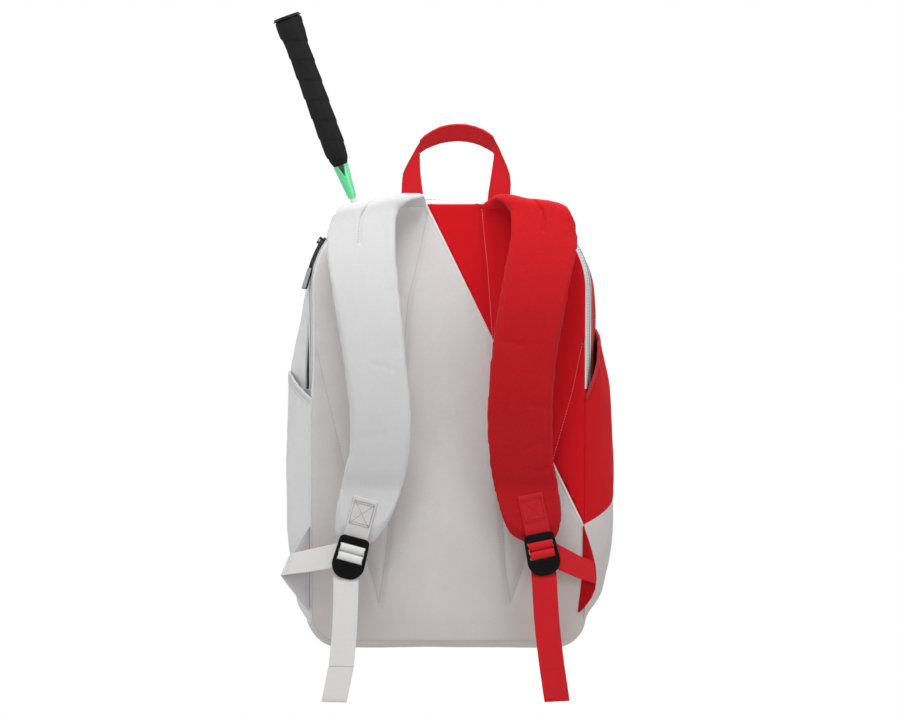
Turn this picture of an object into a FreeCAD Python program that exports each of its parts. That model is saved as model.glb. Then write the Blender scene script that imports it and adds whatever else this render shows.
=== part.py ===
import FreeCAD, Part
import math
import os

import Sketcher
from FreeCAD import Placement, Rotation, Vector

# Racket backpack hung by its haul loop, with a badminton racket standing in its rear compartment.
# Sizes are measured from the bag's base line and the middle of its back panel: X across, Y from
# the harness side to the front pocket, Z up. The finished pieces are then lowered by hang_height
# and drawn forward by hang_behind, which puts the origin at the underside of the haul loop, where
# a hook takes the bag.

doc = FreeCAD.newDocument("RacketBackpack")
sheet = doc.addObject("Spreadsheet::Sheet", "Sizes")

SIZES = [
    ("hang_height", 545.8, "base line to the underside of the haul loop"),
    ("hang_behind", 6.5, "back panel to the middle of the haul loop's webbing"),
    ("wall", 3.0, "foam-backed cloth wall"),
    ("reach", 400.0, "half-size of a cutting block"),
    # the main compartment, as four upright sections through it
    ("back_top_half", 147.0, "back seam: half width at the shoulders"),
    ("back_base_half", 145.0, "back seam: half width at the base"),
    ("back_top", 477.0, "back seam: top edge"),
    ("back_floor", 7.0, "back seam: bottom edge"),
    ("back_top_round", 90.0, "back seam: shoulder radius"),
    ("back_base_round", 26.0, "back seam: base corner radius"),
    ("full_top_half", 157.0, "fullest section: half width at the shoulders"),
    ("full_base_half", 150.0, "fullest section: half width at the base"),
    ("full_top", 482.0, "fullest section: top"),
    ("full_top_round", 96.0, "fullest section: shoulder radius"),
    ("full_base_round", 31.0, "fullest section: base corner radius"),
    ("front_top_half", 147.0, "front seam: half width at the shoulders"),
    ("front_base_half", 140.0, "front seam: half width at the base"),
    ("front_top", 472.0, "front seam: top edge"),
    ("front_floor", 8.0, "front seam: bottom edge"),
    ("front_top_round", 86.0, "front seam: shoulder radius"),
    ("front_base_round", 26.0, "front seam: base corner radius"),
    ("full_rear", 60.0, "where the bag is fullest, from"),
    ("full_front", 110.0, "and to"),
    ("depth", 140.0, "back seam to front seam"),
    # panels
    ("panel", 5.0, "padded back panel and front panel"),
    ("base_split", 30.0, "height where the base panel meets the sides"),
    ("top_split", 61.0, "half width of the top panel"),
    ("zip_end", 279.0, "lower ends of the main zip"),
    ("lane_rear", 16.0, "rear edge of the zip lane"),
    ("lane_front", 46.0, "front edge of the zip lane"),
    ("coil_rear", 28.0, "rear edge of the zip coil"),
    ("coil_front", 34.0, "front edge of the zip coil"),
    ("colour_top", 24.0, "colour seam: how far left of the middle it starts"),
    ("colour_side", 144.0, "colour seam: where it meets the right edge"),
    ("colour_low", 134.0, "colour seam: its height there"),
    # inside
    ("stiffener", 3.0, "sheet behind the back panel"),
    ("sleeve_front", 52.0, "divider that closes the racket sleeve"),
    ("sleeve_floor", 40.0, "underside of the sleeve's floor"),
    ("sleeve_top", 440.0, "top of the divider"),
    ("sleeve_half", 128.0, "half width of the sleeve's floor"),
    # open stretch of the main zip, where the shaft comes out
    ("mouth_middle", 96.0, "middle of the open stretch, left of centre"),
    ("mouth_half", 38.0, "half length of the open stretch"),
    ("mouth_gap", 7.5, "half width of the open stretch"),
    ("slider_left_angle", 33.0, "left slider: angle up the shoulder, degrees"),
    ("slider_right_x", 54.0, "right slider: how far left of the middle"),
    # front pocket
    ("pocket_half", 122.0, "front pocket: half width at its seam"),
    ("pocket_low", 24.0, "front pocket: bottom of its seam"),
    ("pocket_high", 300.0, "front pocket: top of its seam"),
    ("pocket_round", 40.0, "front pocket: corner radius"),
    ("pocket_depth", 38.0, "front pocket: how far it stands out"),
    ("pocket_taper", 16.0, "front pocket: how much smaller its face is"),
    ("pocket_wall", 2.5, "pocket cloth"),
    ("pocket_zip", 250.0, "front pocket: height of its zip"),
    ("pocket_zip_half", 78.0, "front pocket: half length of its zip"),
    ("pocket_slider_x", 70.0, "front pocket slider: how far left of the middle"),
    ("zip_tape", 12.0, "width of one side of a zip tape"),
    ("zip_coil", 3.0, "half width of a zip coil"),
    # side pockets
    ("side_rear", 3.0, "side pocket: rear edge"),
    ("side_front", 130.0, "side pocket: front edge"),
    ("side_crest", 62.0, "side pocket: where it stands out most"),
    ("side_root", 138.0, "side pocket: where it meets the bag"),
    ("side_cloth", 2.2, "side pocket cloth"),
    ("side_bind", 5.0, "elastic binding round its mouth"),
    ("side_mouth", 272.0, "height of the mouth at its rear edge"),
    ("side_slant", 37.0, "slant of the mouth, degrees"),
    # haul loop
    ("loop_rear", 5.0, "haul loop: rear face"),
    ("loop_thick", 3.0, "haul loop: doubled webbing"),
    ("loop_left", 52.0, "haul loop: outer edge, left"),
    ("loop_right", 65.0, "haul loop: outer edge, right"),
    ("loop_web", 24.0, "haul loop: width of its webbing"),
    ("loop_crown", 563.8, "haul loop: top"),
    ("loop_turn", 513.0, "haul loop: where the legs turn in"),
    # shoulder straps
    ("strap_thick", 9.0, "strap pad"),
    ("strap_gap", 0.5, "strap pad clear of the back panel"),
    ("strap_roll", 478.0, "height where the pad rolls over at the top"),
    ("strap_root", 466.0, "lower edge of the pad's sewn root"),
    ("strap_inner", 3.0, "inside radius of the roll"),
    ("strap_bow", 557.0, "radius of the pad's bow off the back"),
    ("strap_straight", 172.0, "height where the bow ends"),
    ("strap_stand", 31.5, "front face of the pad's lower end, off the back"),
    ("strap_end", 110.0, "lower end of the pad"),
    # webbing and buckles
    ("web", 27.0, "webbing width"),
    ("web_thick", 1.6, "webbing thickness"),
    ("lock_width", 35.6, "ladder lock: width"),
    ("lock_length", 46.0, "ladder lock: length"),
    ("lock_thick", 4.2, "ladder lock: thickness"),
    ("lock_head", 8.8, "ladder lock: top bar"),
    ("lock_window", 19.0, "ladder lock: height of its window"),
    ("lock_opening", 27.8, "ladder lock: width of its window"),
    ("lock_pitch", 9.4, "ladder lock: one cross bar to the next"),
    ("lock_bar", 3.8, "ladder lock: height of a cross bar"),
    ("lock_bar_thick", 1.6, "ladder lock: thickness of a cross bar"),
    ("lock_bar_rear", 1.3, "ladder lock: cross bar, in from its rear face"),
    ("lock_bevel", 1.2, "ladder lock: rounding round its front face"),
    ("lock_round", 16.0, "ladder lock: radius of its lip"),
    ("lock_top_round", 5.5, "ladder lock: upper corner radius"),
    ("lock_left_x", 107.5, "left lock: left of the middle"),
    ("lock_left_z", 97.5, "left lock: height"),
    ("lock_left_tilt", 15.0, "left lock: lean, degrees"),
    ("lock_right_x", 99.5, "right lock: right of the middle"),
    ("lock_right_z", 101.5, "right lock: height"),
    ("lock_right_tilt", 12.0, "right lock: lean, degrees"),
    ("lock_face", 34.8, "ladder lock: rear face, off the back"),
    ("wing_thick", 2.4, "anchor wing: doubled cloth"),
    # zip sliders
    ("slider_long", 12.0, "slider plate"),
    ("slider_wide", 9.0, "slider plate"),
    ("slider_plate", 1.4, "slider plate thickness"),
    ("slider_gap", 0.7, "slider plate clear of the tape"),
    ("bridge_long", 8.0, "slider bridge"),
    ("bridge_wide", 2.6, "slider bridge"),
    ("bridge_high", 4.4, "slider bridge"),
    ("eye", 1.5, "hole in the bridge, radius"),
    ("cord", 0.8, "pull cord, radius"),
    ("cord_spread", 2.6, "half the distance between the two runs of a pull cord"),
    ("cord_bend", 1.2, "bend of a pull cord beside the eye"),
    ("cord_long", 27.0, "pull cord"),
    ("pull_droop", 2.5, "a pull that lies on its tape, degrees"),
    ("pull_lean", 67.0, "the left pull against the bag's shoulder, degrees below level"),
    ("tab_long", 23.0, "pull tab"),
    ("tab_wide", 9.0, "pull tab"),
    ("tab_thick", 3.0, "pull tab"),
    # racket
    ("racket_y", 31.0, "plane of the racket"),
    ("racket_tilt", 20.0, "lean of the racket, degrees"),
    ("racket_foot_x", 53.8, "tip of the head, right of the middle"),
    ("racket_foot_z", 48.3, "tip of the head, height"),
    ("racket_long", 675.0, "racket length"),
    ("head_long", 250.0, "head length"),
    ("head_wide", 200.0, "head width"),
    ("head_rim", 8.0, "rim, seen square on"),
    ("head_deep", 10.0, "rim, seen from its edge"),
    ("rim_bevel", 2.2, "bevel along the rim"),
    ("string", 0.9, "a string, square in section"),
    ("string_pitch", 10.0, "strings, one to the next"),
    ("shaft", 3.5, "shaft radius"),
    ("cone_low", 466.0, "cone, its lower end"),
    ("grip_low", 503.0, "grip, its lower end"),
    ("grip_full", 530.0, "grip, where it reaches full size"),
    ("grip", 13.5, "grip radius"),
    ("grip_neck", 8.5, "grip radius at its lower end"),
    ("wrap_step", 0.6, "how far the grip tape's edge stands up at each turn"),
    ("butt", 16.0, "butt radius"),
    ("butt_from", 655.0, "where the butt flares"),
    ("cap_thick", 3.0, "butt cap"),
]

for row, (alias, size, note) in enumerate(SIZES, start=1):
    sheet.set("A%d" % row, note)
    sheet.set("B%d" % row, str(size))
    sheet.setAlias("B%d" % row, alias)
doc.recompute()


def number(text):
    """The value of a sum such as 'full_top - 2*wall', read from the sheet."""
    total = 0.0
    sign = 1.0
    for word in str(text).split():
        if word in "+-":
            sign = 1.0 if word == "+" else -1.0
            continue
        product = sign
        for piece in word.split("*"):
            plain = piece.replace(".", "", 1).isdigit()
            product *= float(piece) if plain else sheet.get(piece)
        total += product
        sign = 1.0
    return total


def formula(text):
    """The same sum as an expression on the sheet's cells."""
    words = []
    for word in str(text).split():
        pieces = word.split("*")
        named = [p if p in "+-" or p.replace(".", "", 1).isdigit() else "Sizes." + p for p in pieces]
        words.append(" * ".join(named))
    return " ".join(words)


def bind(thing, **places):
    """Give properties their values from the sheet."""
    for name, text in places.items():
        thing.setExpression(name, formula(text))


# Sketch planes: across is the sketch's first axis, up its second.

UPRIGHT = Rotation(Vector(1, 0, 0), 90)
SIDEWAYS = Rotation(Vector(0, 0, 1), 90) * Rotation(Vector(1, 0, 0), 90)
FLAT = Rotation()


def corners_of(nodes):
    """The numbers of an outline's nodes."""
    return [(number(x), number(y), number(bend)) for x, y, bend in nodes]


def edges_of(nodes):
    """Edges through nodes (across, up, bend); bend is the radius of the arc to the next node,
    with its centre to the left of the way there, or to the right when it is below zero."""
    spots = corners_of(nodes)
    edges = []
    for here, after in zip(spots, spots[1:] + spots[:1]):
        start = Vector(here[0], here[1], 0)
        end = Vector(after[0], after[1], 0)
        bend = here[2]
        if bend == 0:
            edges.append((Part.LineSegment(start, end), 1, 2))
            continue
        half = (end - start) * 0.5
        side = Vector(-half.y, half.x, 0).normalize()
        rise = math.sqrt(max(bend * bend - half.Length ** 2, 0.0))
        centre = start + half + side * math.copysign(rise, bend)
        angles = [math.atan2(p.y - centre.y, p.x - centre.x) for p in (start, end)]
        if bend < 0:
            angles.reverse()
        circle = Part.Circle(centre, Vector(0, 0, 1), abs(bend))
        arc = Part.ArcOfCircle(circle, angles[0], angles[1])
        edges.append((arc, 1, 2) if bend > 0 else (arc, 2, 1))
    return edges


def outline(name, nodes, place=Placement(), owner=None):
    """A closed sketch through nodes, each held by the sheet's sizes."""
    kind = "Sketcher::SketchObject"
    sketch = owner.newObject(kind, name) if owner else doc.addObject(kind, name)
    if owner is None:
        sketch.Placement = place
    edges = edges_of(nodes)
    for edge, _, _ in edges:
        sketch.addGeometry(edge, False)
    count = len(edges)
    for index, (x, y, bend) in enumerate(nodes):
        start = edges[index][1]
        end = edges[index][2]
        follows = (index + 1) % count
        sketch.addConstraint(
            Sketcher.Constraint("Coincident", index, end, follows, edges[follows][1])
        )
        for kind, text in (("DistanceX", x), ("DistanceY", y)):
            at = sketch.addConstraint(Sketcher.Constraint(kind, -1, 1, index, start, number(text)))
            sketch.setExpression("Constraints[%d]" % at, formula(text))
        if number(bend) != 0:
            at = sketch.addConstraint(Sketcher.Constraint("Radius", index, abs(number(bend))))
            sketch.setExpression("Constraints[%d]" % at, "abs(%s)" % formula(bend))
    return sketch


def slab(name, sketch, thickness, along):
    """A sketch made solid, its thickness laid along a direction."""
    solid = doc.addObject("Part::Extrusion", name)
    solid.Base = sketch
    solid.DirMode = "Custom"
    solid.Dir = along
    solid.Solid = True
    bind(solid, LengthFwd=thickness)
    return solid


def block(name, low, high):
    """A box between two corners, each given as three sums."""
    box = doc.addObject("Part::Box", name)
    for prop, place, start, end in zip(("Length", "Width", "Height"), "xyz", low, high):
        box.setExpression(prop, "%s - (%s)" % (formula(end), formula(start)))
        box.setExpression("Placement.Base.%s" % place, formula(start))
    return box


def cut(name, base, tool):
    """What is left of a piece outside another."""
    part = doc.addObject("Part::Cut", name)
    part.Base = base
    part.Tool = tool
    return part


def common(name, first, second):
    """What two pieces share."""
    part = doc.addObject("Part::Common", name)
    part.Base = first
    part.Tool = second
    return part


def fuse(name, pieces):
    """Several pieces made one."""
    part = doc.addObject("Part::MultiFuse", name)
    part.Shapes = pieces
    part.Refine = True
    return part


# The finished pieces, and the drop that brings the haul loop's underside to the origin.

pieces = []


def finish(part, name):
    """Name a piece and move it from the bag's own zero to the loop's."""
    part.Label = name
    held = {path.lstrip("."): text for path, text in part.ExpressionEngine}
    for axis, drop in (("y", "hang_behind"), ("z", "hang_height")):
        path = "Placement.Base." + axis
        part.setExpression(path, "%s - Sizes.%s" % (held.get(path, "0"), drop))
    pieces.append(part)
    return part


def finish_placed(part, name, spot, rotation):
    """Name a piece made about its own zero, and put it at its spot on the bag."""
    part.Label = name
    origin = Vector(0, number("hang_behind"), number("hang_height"))
    part.Placement = Placement(spot - origin, rotation)
    pieces.append(part)
    return part


# The main compartment: upright sections lofted into the bag's outer form and its hollow.


def section(name, place, y, inset):
    """One upright section, its corners drawn about the same centres whatever the inset."""
    top_half, base_half, top, floor, top_round, base_round = [
        place + "_" + word
        for word in ("top_half", "base_half", "top", "floor", "top_round", "base_round")
    ]
    if place == "full":
        floor = "0"
    crown_x = top_half + " - " + top_round
    crown_z = top + " - " + top_round
    foot_x = base_half + " - " + base_round
    foot_z = floor + " + " + base_round
    sketch = doc.addObject("Sketcher::SketchObject", name)
    sketch.Placement = Placement(Vector(0, y, 0), UPRIGHT)
    # centres: lower right, upper right, upper left, lower left
    centres = [
        (foot_x, foot_z, base_round, 1),
        (crown_x, crown_z, top_round, 1),
        (crown_x, crown_z, top_round, -1),
        (foot_x, foot_z, base_round, -1),
    ]
    rounds = []
    for x, z, bend, side in centres:
        middle = Vector(side * number(x), number(z), 0)
        rounds.append((middle, number(bend) - number(inset)))
    low, high = rounds[0], rounds[1]
    run = high[0] - low[0]
    lean = math.asin((high[1] - low[1]) / run.Length)
    aim = math.atan2(run.y, run.x) - math.pi / 2 + lean
    spans = [
        (-math.pi / 2, aim),
        (aim, math.pi / 2),
        (math.pi / 2, math.pi - aim),
        (math.pi - aim, 3 * math.pi / 2),
    ]
    arcs = []
    for (middle, radius), (start, end) in zip(rounds, spans):
        circle = Part.Circle(middle, Vector(0, 0, 1), radius)
        arcs.append(Part.ArcOfCircle(circle, start, end))
    order = []
    for index, arc in enumerate(arcs):
        order.append(sketch.addGeometry(arc, False))
        after = arcs[(index + 1) % 4]
        line = Part.LineSegment(arc.EndPoint, after.StartPoint)
        order.append(sketch.addGeometry(line, False))
    for index in range(8):
        follows = (index + 1) % 8
        joint = Sketcher.Constraint("Tangent", order[index], 2, order[follows], 1)
        sketch.addConstraint(joint)
    for index, (x, z, bend, side) in enumerate(centres):
        arc = order[2 * index]
        sign = "" if side > 0 else "-"
        held = (
            ("DistanceX", sign + "(" + formula(x) + ")", side * number(x)),
            ("DistanceY", formula(z), number(z)),
        )
        for kind, text, size in held:
            at = sketch.addConstraint(Sketcher.Constraint(kind, -1, 1, arc, 3, size))
            sketch.setExpression("Constraints[%d]" % at, text)
        size = number(bend) - number(inset)
        at = sketch.addConstraint(Sketcher.Constraint("Radius", arc, size))
        sketch.setExpression("Constraints[%d]" % at, formula(bend) + " - " + formula(inset))
    return sketch


def loft(name, sections):
    """A solid run straight from section to section."""
    solid = doc.addObject("Part::Loft", name)
    solid.Sections = sections
    solid.Solid = True
    solid.Ruled = True
    return solid


def compartment(name, inset):
    """The bag's form, or its hollow when it is inset by the wall."""
    stations = (("back", "0"), ("full", "full_rear"), ("full", "full_front"), ("front", "depth"))
    sections = []
    for index, (place, y) in enumerate(stations):
        sections.append(section("%s_%d" % (name, index), place, number(y), inset))
    return loft(name, sections)


def part_of(name, whole, low, high):
    """The stretch of a piece between two corners."""
    return common(name, whole, block(name + "_block", low, high))


form = compartment("bag_form", "0")
hollow = compartment("bag_hollow", "wall")
skin = cut("bag_skin", form, hollow)

# The back panel is one padded plate in two colours that meet on a slanting seam.

back_plate = part_of("back_plate", form, ("0 - reach", "0", "0 - reach"), ("reach", "panel", "2*reach"))
colour_sketch = outline(
    "colour_seam",
    [
        ("0 - colour_top", "back_top", "0"),
        ("colour_side", "colour_low", "0"),
        ("reach", "colour_low", "0"),
        ("reach", "2*reach", "0"),
        ("0 - colour_top", "2*reach", "0"),
    ],
    Placement(Vector(0, 2 * number("reach"), 0), UPRIGHT),
)
colour_block = slab("colour_block", colour_sketch, "4*reach", Vector(0, -1, 0))
finish(common("back_red", back_plate, colour_block), "back_panel_red")
finish(cut("back_pale", back_plate, colour_block), "back_panel_pale")
finish(
    part_of(
        "stiffener_sheet",
        hollow,
        ("0 - reach", "panel", "zip_end - 264"),
        ("reach", "panel + stiffener", "back_top - 14"),
    ),
    "back_stiffener",
)

# Gussets, zip lane, sides, top and base are stretches of the same skin.

inner_front = "depth - panel"
for side, low, high in (("left", "0 - reach", "0"), ("right", "0", "reach")):
    gusset = part_of(
        "gusset_" + side, skin, (low, "panel", "zip_end"), (high, "lane_rear", "2*reach")
    )
    finish(gusset, "rear_gusset_" + side)
    split_low = low if side == "left" else "top_split"
    split_high = "0 - top_split" if side == "left" else high
    front_part = part_of(
        "side_front_" + side,
        skin,
        (split_low, "lane_front", "base_split"),
        (split_high, inner_front, "2*reach"),
    )
    rear_part = part_of(
        "side_rear_" + side,
        skin,
        (low, "panel", "base_split"),
        (high, "lane_front", "zip_end"),
    )
    finish(fuse("side_" + side, [front_part, rear_part]), "side_panel_" + side)
finish(
    part_of(
        "top",
        skin,
        ("0 - top_split", "lane_front", "front_top - 100"),
        ("top_split", inner_front, "2*reach"),
    ),
    "top_panel",
)
finish(
    part_of("base", skin, ("0 - reach", "panel", "0 - wall"), ("reach", inner_front, "base_split")),
    "base_panel",
)
finish(
    part_of("front", form, ("0 - reach", inner_front, "0 - reach"), ("reach", "depth", "2*reach")),
    "front_panel",
)

# The main zip: two tapes and the closed coils, parted where the racket's shaft comes out.

mouth = doc.addObject("Part::Ellipse", "mouth_ring")
mouth.MajorRadius = number("mouth_half")
mouth.MinorRadius = number("mouth_gap")
bind(mouth, MajorRadius="mouth_half", MinorRadius="mouth_gap")
mouth.Placement.Base = Vector(-number("mouth_middle"), number("racket_y"), number("zip_end"))
mouth_cutter = doc.addObject("Part::Extrusion", "mouth_cutter")
mouth_cutter.Base = mouth
mouth_cutter.DirMode = "Custom"
mouth_cutter.Dir = Vector(0, 0, 1)
mouth_cutter.Solid = True
bind(mouth_cutter, LengthFwd="reach")
for name, rear, front in (
    ("zip_tape_rear", "lane_rear", "coil_rear"),
    ("zip_tape_front", "coil_front", "lane_front"),
):
    tape = part_of(name + "_run", skin, ("0 - reach", rear, "zip_end"), ("reach", front, "2*reach"))
    finish(cut(name + "_cut", tape, mouth_cutter), name)
angle = math.radians(number("slider_left_angle"))
coil_y = number("racket_y")


def shoulder(angle, y):
    """A point on the left shoulder of the bag at an angle above level, in the plane y."""
    share = y / number("full_rear")
    sizes = []
    for word in ("top_half", "top", "top_round"):
        sizes.append(number("back_" + word) * (1 - share) + number("full_" + word) * share)
    half, top, bend = sizes
    x = -(half - bend) - bend * math.cos(angle)
    z = top - bend + bend * math.sin(angle)
    return Vector(x, y, z)


slider_spot = shoulder(angle, coil_y)
coil_left = doc.addObject("Part::Box", "coil_left_block")
bind(coil_left, Length="reach", Width="coil_front - coil_rear")
coil_left.Placement.Base = Vector(-number("reach"), number("coil_rear"), number("zip_end"))
coil_left.Height = slider_spot.z - number("zip_end")
finish(common("coil_left", skin, coil_left), "zip_coil_left")
finish(
    part_of(
        "coil_right",
        skin,
        ("0 - slider_right_x", "coil_rear", "zip_end"),
        ("reach", "coil_front", "2*reach"),
    ),
    "zip_coil_right",
)

# The sleeve that holds the racket: a divider and a floor that keep its head off the base.

finish(
    part_of(
        "divider",
        hollow,
        ("0 - reach", "sleeve_front", "sleeve_floor"),
        ("reach", "sleeve_front + stiffener", "sleeve_top"),
    ),
    "sleeve_divider",
)
finish(
    block(
        "floor",
        ("0 - sleeve_half", "panel + stiffener", "sleeve_floor"),
        ("sleeve_half", "sleeve_front", "sleeve_floor + stiffener"),
    ),
    "sleeve_floor",
)

# The front pocket: a tapered bowl of cloth on the front panel, closed by a straight zip.


def pocket_section(name, y, inset):
    """One section of the front pocket, smaller all round by the inset."""
    half = "pocket_half - " + inset
    low = "pocket_low + " + inset
    high = "pocket_high - " + inset
    bend = "pocket_round"
    nodes = [
        ("0 - pocket_half + %s + %s" % (bend, inset), low, "0"),
        (half + " - " + bend, low, bend),
        (half, low + " + " + bend, "0"),
        (half, high + " - " + bend, bend),
        (half + " - " + bend, high, "0"),
        ("0 - pocket_half + %s + %s" % (bend, inset), high, bend),
        ("0 - pocket_half + " + inset, high + " - " + bend, "0"),
        ("0 - pocket_half + " + inset, low + " + " + bend, bend),
    ]
    return outline(name, nodes, Placement(Vector(0, number(y), 0), UPRIGHT))


pocket_face = "depth + pocket_depth"
pocket_form = loft(
    "pocket_form",
    [
        pocket_section("pocket_seam", "depth", "0"),
        pocket_section("pocket_face", pocket_face, "pocket_taper"),
    ],
)
pocket_hollow = loft(
    "pocket_hollow",
    [
        pocket_section("pocket_seam_inner", "depth", "pocket_wall"),
        pocket_section("pocket_face_inner", pocket_face + " - pocket_wall", "pocket_taper + pocket_wall"),
    ],
)
pocket_skin = cut("pocket_skin", pocket_form, pocket_hollow)
zip_low = "pocket_zip - zip_coil - zip_tape"
zip_high = "pocket_zip + zip_coil + zip_tape"
zip_cutter = block(
    "pocket_zip_cutter",
    ("0 - pocket_zip_half", "depth + 10", zip_low),
    ("pocket_zip_half", "depth + 2*pocket_depth", zip_high),
)
finish(cut("front_pocket_cut", pocket_skin, zip_cutter), "front_pocket")
for name, start, low, high in (
    ("pocket_tape_lower", "0 - pocket_zip_half", zip_low, "pocket_zip - zip_coil"),
    ("pocket_tape_upper", "0 - pocket_zip_half", "pocket_zip + zip_coil", zip_high),
    ("pocket_coil", "0 - pocket_slider_x", "pocket_zip - zip_coil", "pocket_zip + zip_coil"),
):
    run = block(
        name + "_block",
        (start, pocket_face + " - pocket_wall", low),
        ("pocket_zip_half", pocket_face, high),
    )
    finish(run, name)

# Side pockets: bulging cloth lofted up the side, cut off at a slanting mouth with an elastic edge.

BULGES = [
    ("bulge_low", 34.0, 150.0),
    ("bulge_a", 64.0, 166.0),
    ("bulge_b", 112.0, 174.5),
    ("bulge_c", 180.0, 176.5),
    ("bulge_d", 262.0, 174.0),
    ("bulge_e", 325.0, 168.0),
    ("bulge_top", 392.0, 160.0),
]


def bulge_section(name, side, height, out, inset):
    """A bow between the pocket's two edges, closed by a straight line inside the bag."""
    rear = Vector(side * number("side_root"), number("side_rear") + inset, height)
    crest = Vector(side * (out - inset), number("side_crest"), height)
    front = Vector(side * number("side_root"), number("side_front") - inset, height)
    bow = Part.Arc(rear, crest, front).toShape()
    chord = Part.LineSegment(front, rear).toShape()
    return Part.Wire([bow, chord])


def bulge(name, side, inset):
    """The pocket's form, or its hollow when it is inset by the cloth."""
    solid = doc.addObject("Part::Feature", name)
    wires = []
    for station, height, out in BULGES:
        lift = inset if station == "bulge_low" else 0
        wires.append(bulge_section(station, side, height + lift, out, inset))
    solid.Shape = Part.makeLoft(wires, True, False)
    return solid


def mouth_slab(name, side, drop):
    """Everything above the slanting mouth, lowered by a drop."""
    rise = number("side_mouth") - drop
    box = doc.addObject("Part::Box", name)
    bind(box, Length="reach", Width="reach", Height="reach")
    lean = Rotation(Vector(1, 0, 0), number("side_slant"))
    across = 0 if side > 0 else -number("reach")
    back = lean.multVec(Vector(0, -number("reach") / 4, 0))
    box.Placement = Placement(Vector(across, number("side_rear"), rise) + back, lean)
    return box


for word, side in (("left", -1), ("right", 1)):
    body = cut("bulge_%s_open" % word, bulge("bulge_" + word, side, 0), form)
    cloth = cut("cloth_" + word, body, bulge("bulge_%s_hollow" % word, side, number("side_cloth")))
    above = mouth_slab("mouth_%s" % word, side, 0)
    below = mouth_slab("bind_%s" % word, side, number("side_bind"))
    finish(cut("pocket_" + word, cloth, below), "side_pocket_" + word)
    rim = common("rim_" + word, cloth, below)
    finish(cut("binding_" + word, rim, above), "pocket_binding_" + word)

# The haul loop: doubled webbing folded into an arch, its legs sewn into the top seam.

loop_nodes = [
    ("0 - loop_left", "back_top - 20", "0"),
    ("0 - loop_left + 2", "loop_turn", "0"),
    ("0 - loop_left + 20", "loop_turn + 32", "0 - 44"),
    ("0", "loop_crown", "0"),
    ("18", "loop_crown", "0 - 44"),
    ("loop_right - 17", "loop_turn + 36", "0"),
    ("loop_right", "loop_turn", "0"),
    ("loop_right", "back_top - 20", "0"),
    ("loop_right - loop_web", "back_top - 20", "0"),
    ("loop_right - loop_web + 6", "loop_turn + 19", "60"),
    ("18", "hang_height", "0"),
    ("0", "hang_height", "60"),
    ("0 - loop_left + loop_web - 4", "loop_turn + 19", "0"),
    ("0 - loop_left + loop_web", "back_top - 20", "0"),
]
loop_place = Placement(Vector(0, number("loop_rear") + number("loop_thick"), 0), UPRIGHT)
loop_sketch = outline("loop_outline", loop_nodes, loop_place)
loop_slab = slab("loop_slab", loop_sketch, "loop_thick", Vector(0, -1, 0))
finish(cut("loop", loop_slab, form), "haul_loop")

# Shoulder straps: the pad's outline seen from the harness side, crossed with its bow seen from
# the side. Each pad is sewn in at the top seam, rolls over it and hangs a hand's depth off the back.

def strap_profile(name):
    """The pad seen from the side: a root, a roll over the top and a long bow off the back."""
    face = "0 - strap_stand"
    rear = "0 - strap_stand + strap_thick"
    near = "0 - strap_gap"
    far = "0 - strap_gap - strap_thick"
    middle = far + " - strap_inner"
    fold = middle + " - strap_inner"
    nodes = [
        (face, "strap_end", "0"),
        (rear, "strap_end", "0"),
        (rear, "strap_straight", "0 - strap_bow + 0.5*strap_thick"),
        (fold, "strap_roll", "0 - strap_inner"),
        (middle, "strap_roll + strap_inner", "0 - strap_inner"),
        (far, "strap_roll", "0"),
        (far, "strap_root", "0"),
        (near, "strap_root", "0"),
        (near, "strap_roll", "strap_inner + strap_thick"),
        (middle, "strap_roll + strap_inner + strap_thick", "strap_inner + strap_thick"),
        (fold + " - strap_thick", "strap_roll", "strap_bow + 0.5*strap_thick"),
        (face, "strap_straight", "0"),
    ]
    return outline(name, nodes, Placement(Vector(-number("reach"), 0, 0), SIDEWAYS))


def strap_outline(side, inner_top, outer_top):
    """The pad seen square on; across is measured outwards from the middle of the back."""
    nodes = [
        ("80", "strap_end", "0"),
        ("118", "strap_end + 5", "7"),
        ("122", "strap_end + 14", "0"),
        ("122", "142", "0"),
        ("108.5", "222", "0 - 30"),
        ("110.5", "262", "0"),
        ("133", "410", "60"),
        (outer_top, "462", "34"),
        ("110", "492", "0"),
        (inner_top, "492", "0"),
        (inner_top, "487", "0"),
        ("59", "462", "0"),
        ("60", "432", "0"),
        ("43", "246", "201"),
    ]
    if side < 0:
        nodes = [("0 - " + x, z, bend) for x, z, bend in nodes]
        flipped = []
        for index, (x, z, bend) in enumerate(nodes):
            before = nodes[index - 1][2]
            flipped.append((x, z, before))
        nodes = list(reversed(flipped))
    return nodes


for word, side, inner_top, outer_top in (("left", -1, "30", "129"), ("right", 1, "54", "134")):
    bow = slab("strap_bow_" + word, strap_profile("strap_side_" + word), "2*reach", Vector(1, 0, 0))
    square = outline(
        "strap_face_" + word,
        strap_outline(side, inner_top, outer_top),
        Placement(Vector(0, number("panel"), 0), UPRIGHT),
    )
    face = slab("strap_block_" + word, square, "reach", Vector(0, -1, 0))
    finish(common("strap_pad_shape_" + word, bow, face), "strap_pad_" + word)

# Bodies made by padding and pocketing, about their own zero.


def origin_plane(body, role):
    """One of a body's own origin planes."""
    return [plane for plane in body.Origin.OriginFeatures if plane.Role == role][0]


def body_sketch(body, name, role, nodes, lift="0"):
    """An outline on one of a body's origin planes, lifted off it."""
    sketch = outline(name, nodes, owner=body)
    sketch.AttachmentSupport = [(origin_plane(body, role), "")]
    sketch.MapMode = "FlatFace"
    sketch.setExpression("AttachmentOffset.Base.z", formula(lift))
    return sketch


def pad(body, name, sketch, length):
    """A sketch padded along its normal."""
    feature = body.newObject("PartDesign::Pad", name)
    feature.Profile = sketch
    bind(feature, Length=length)
    return feature


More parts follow.
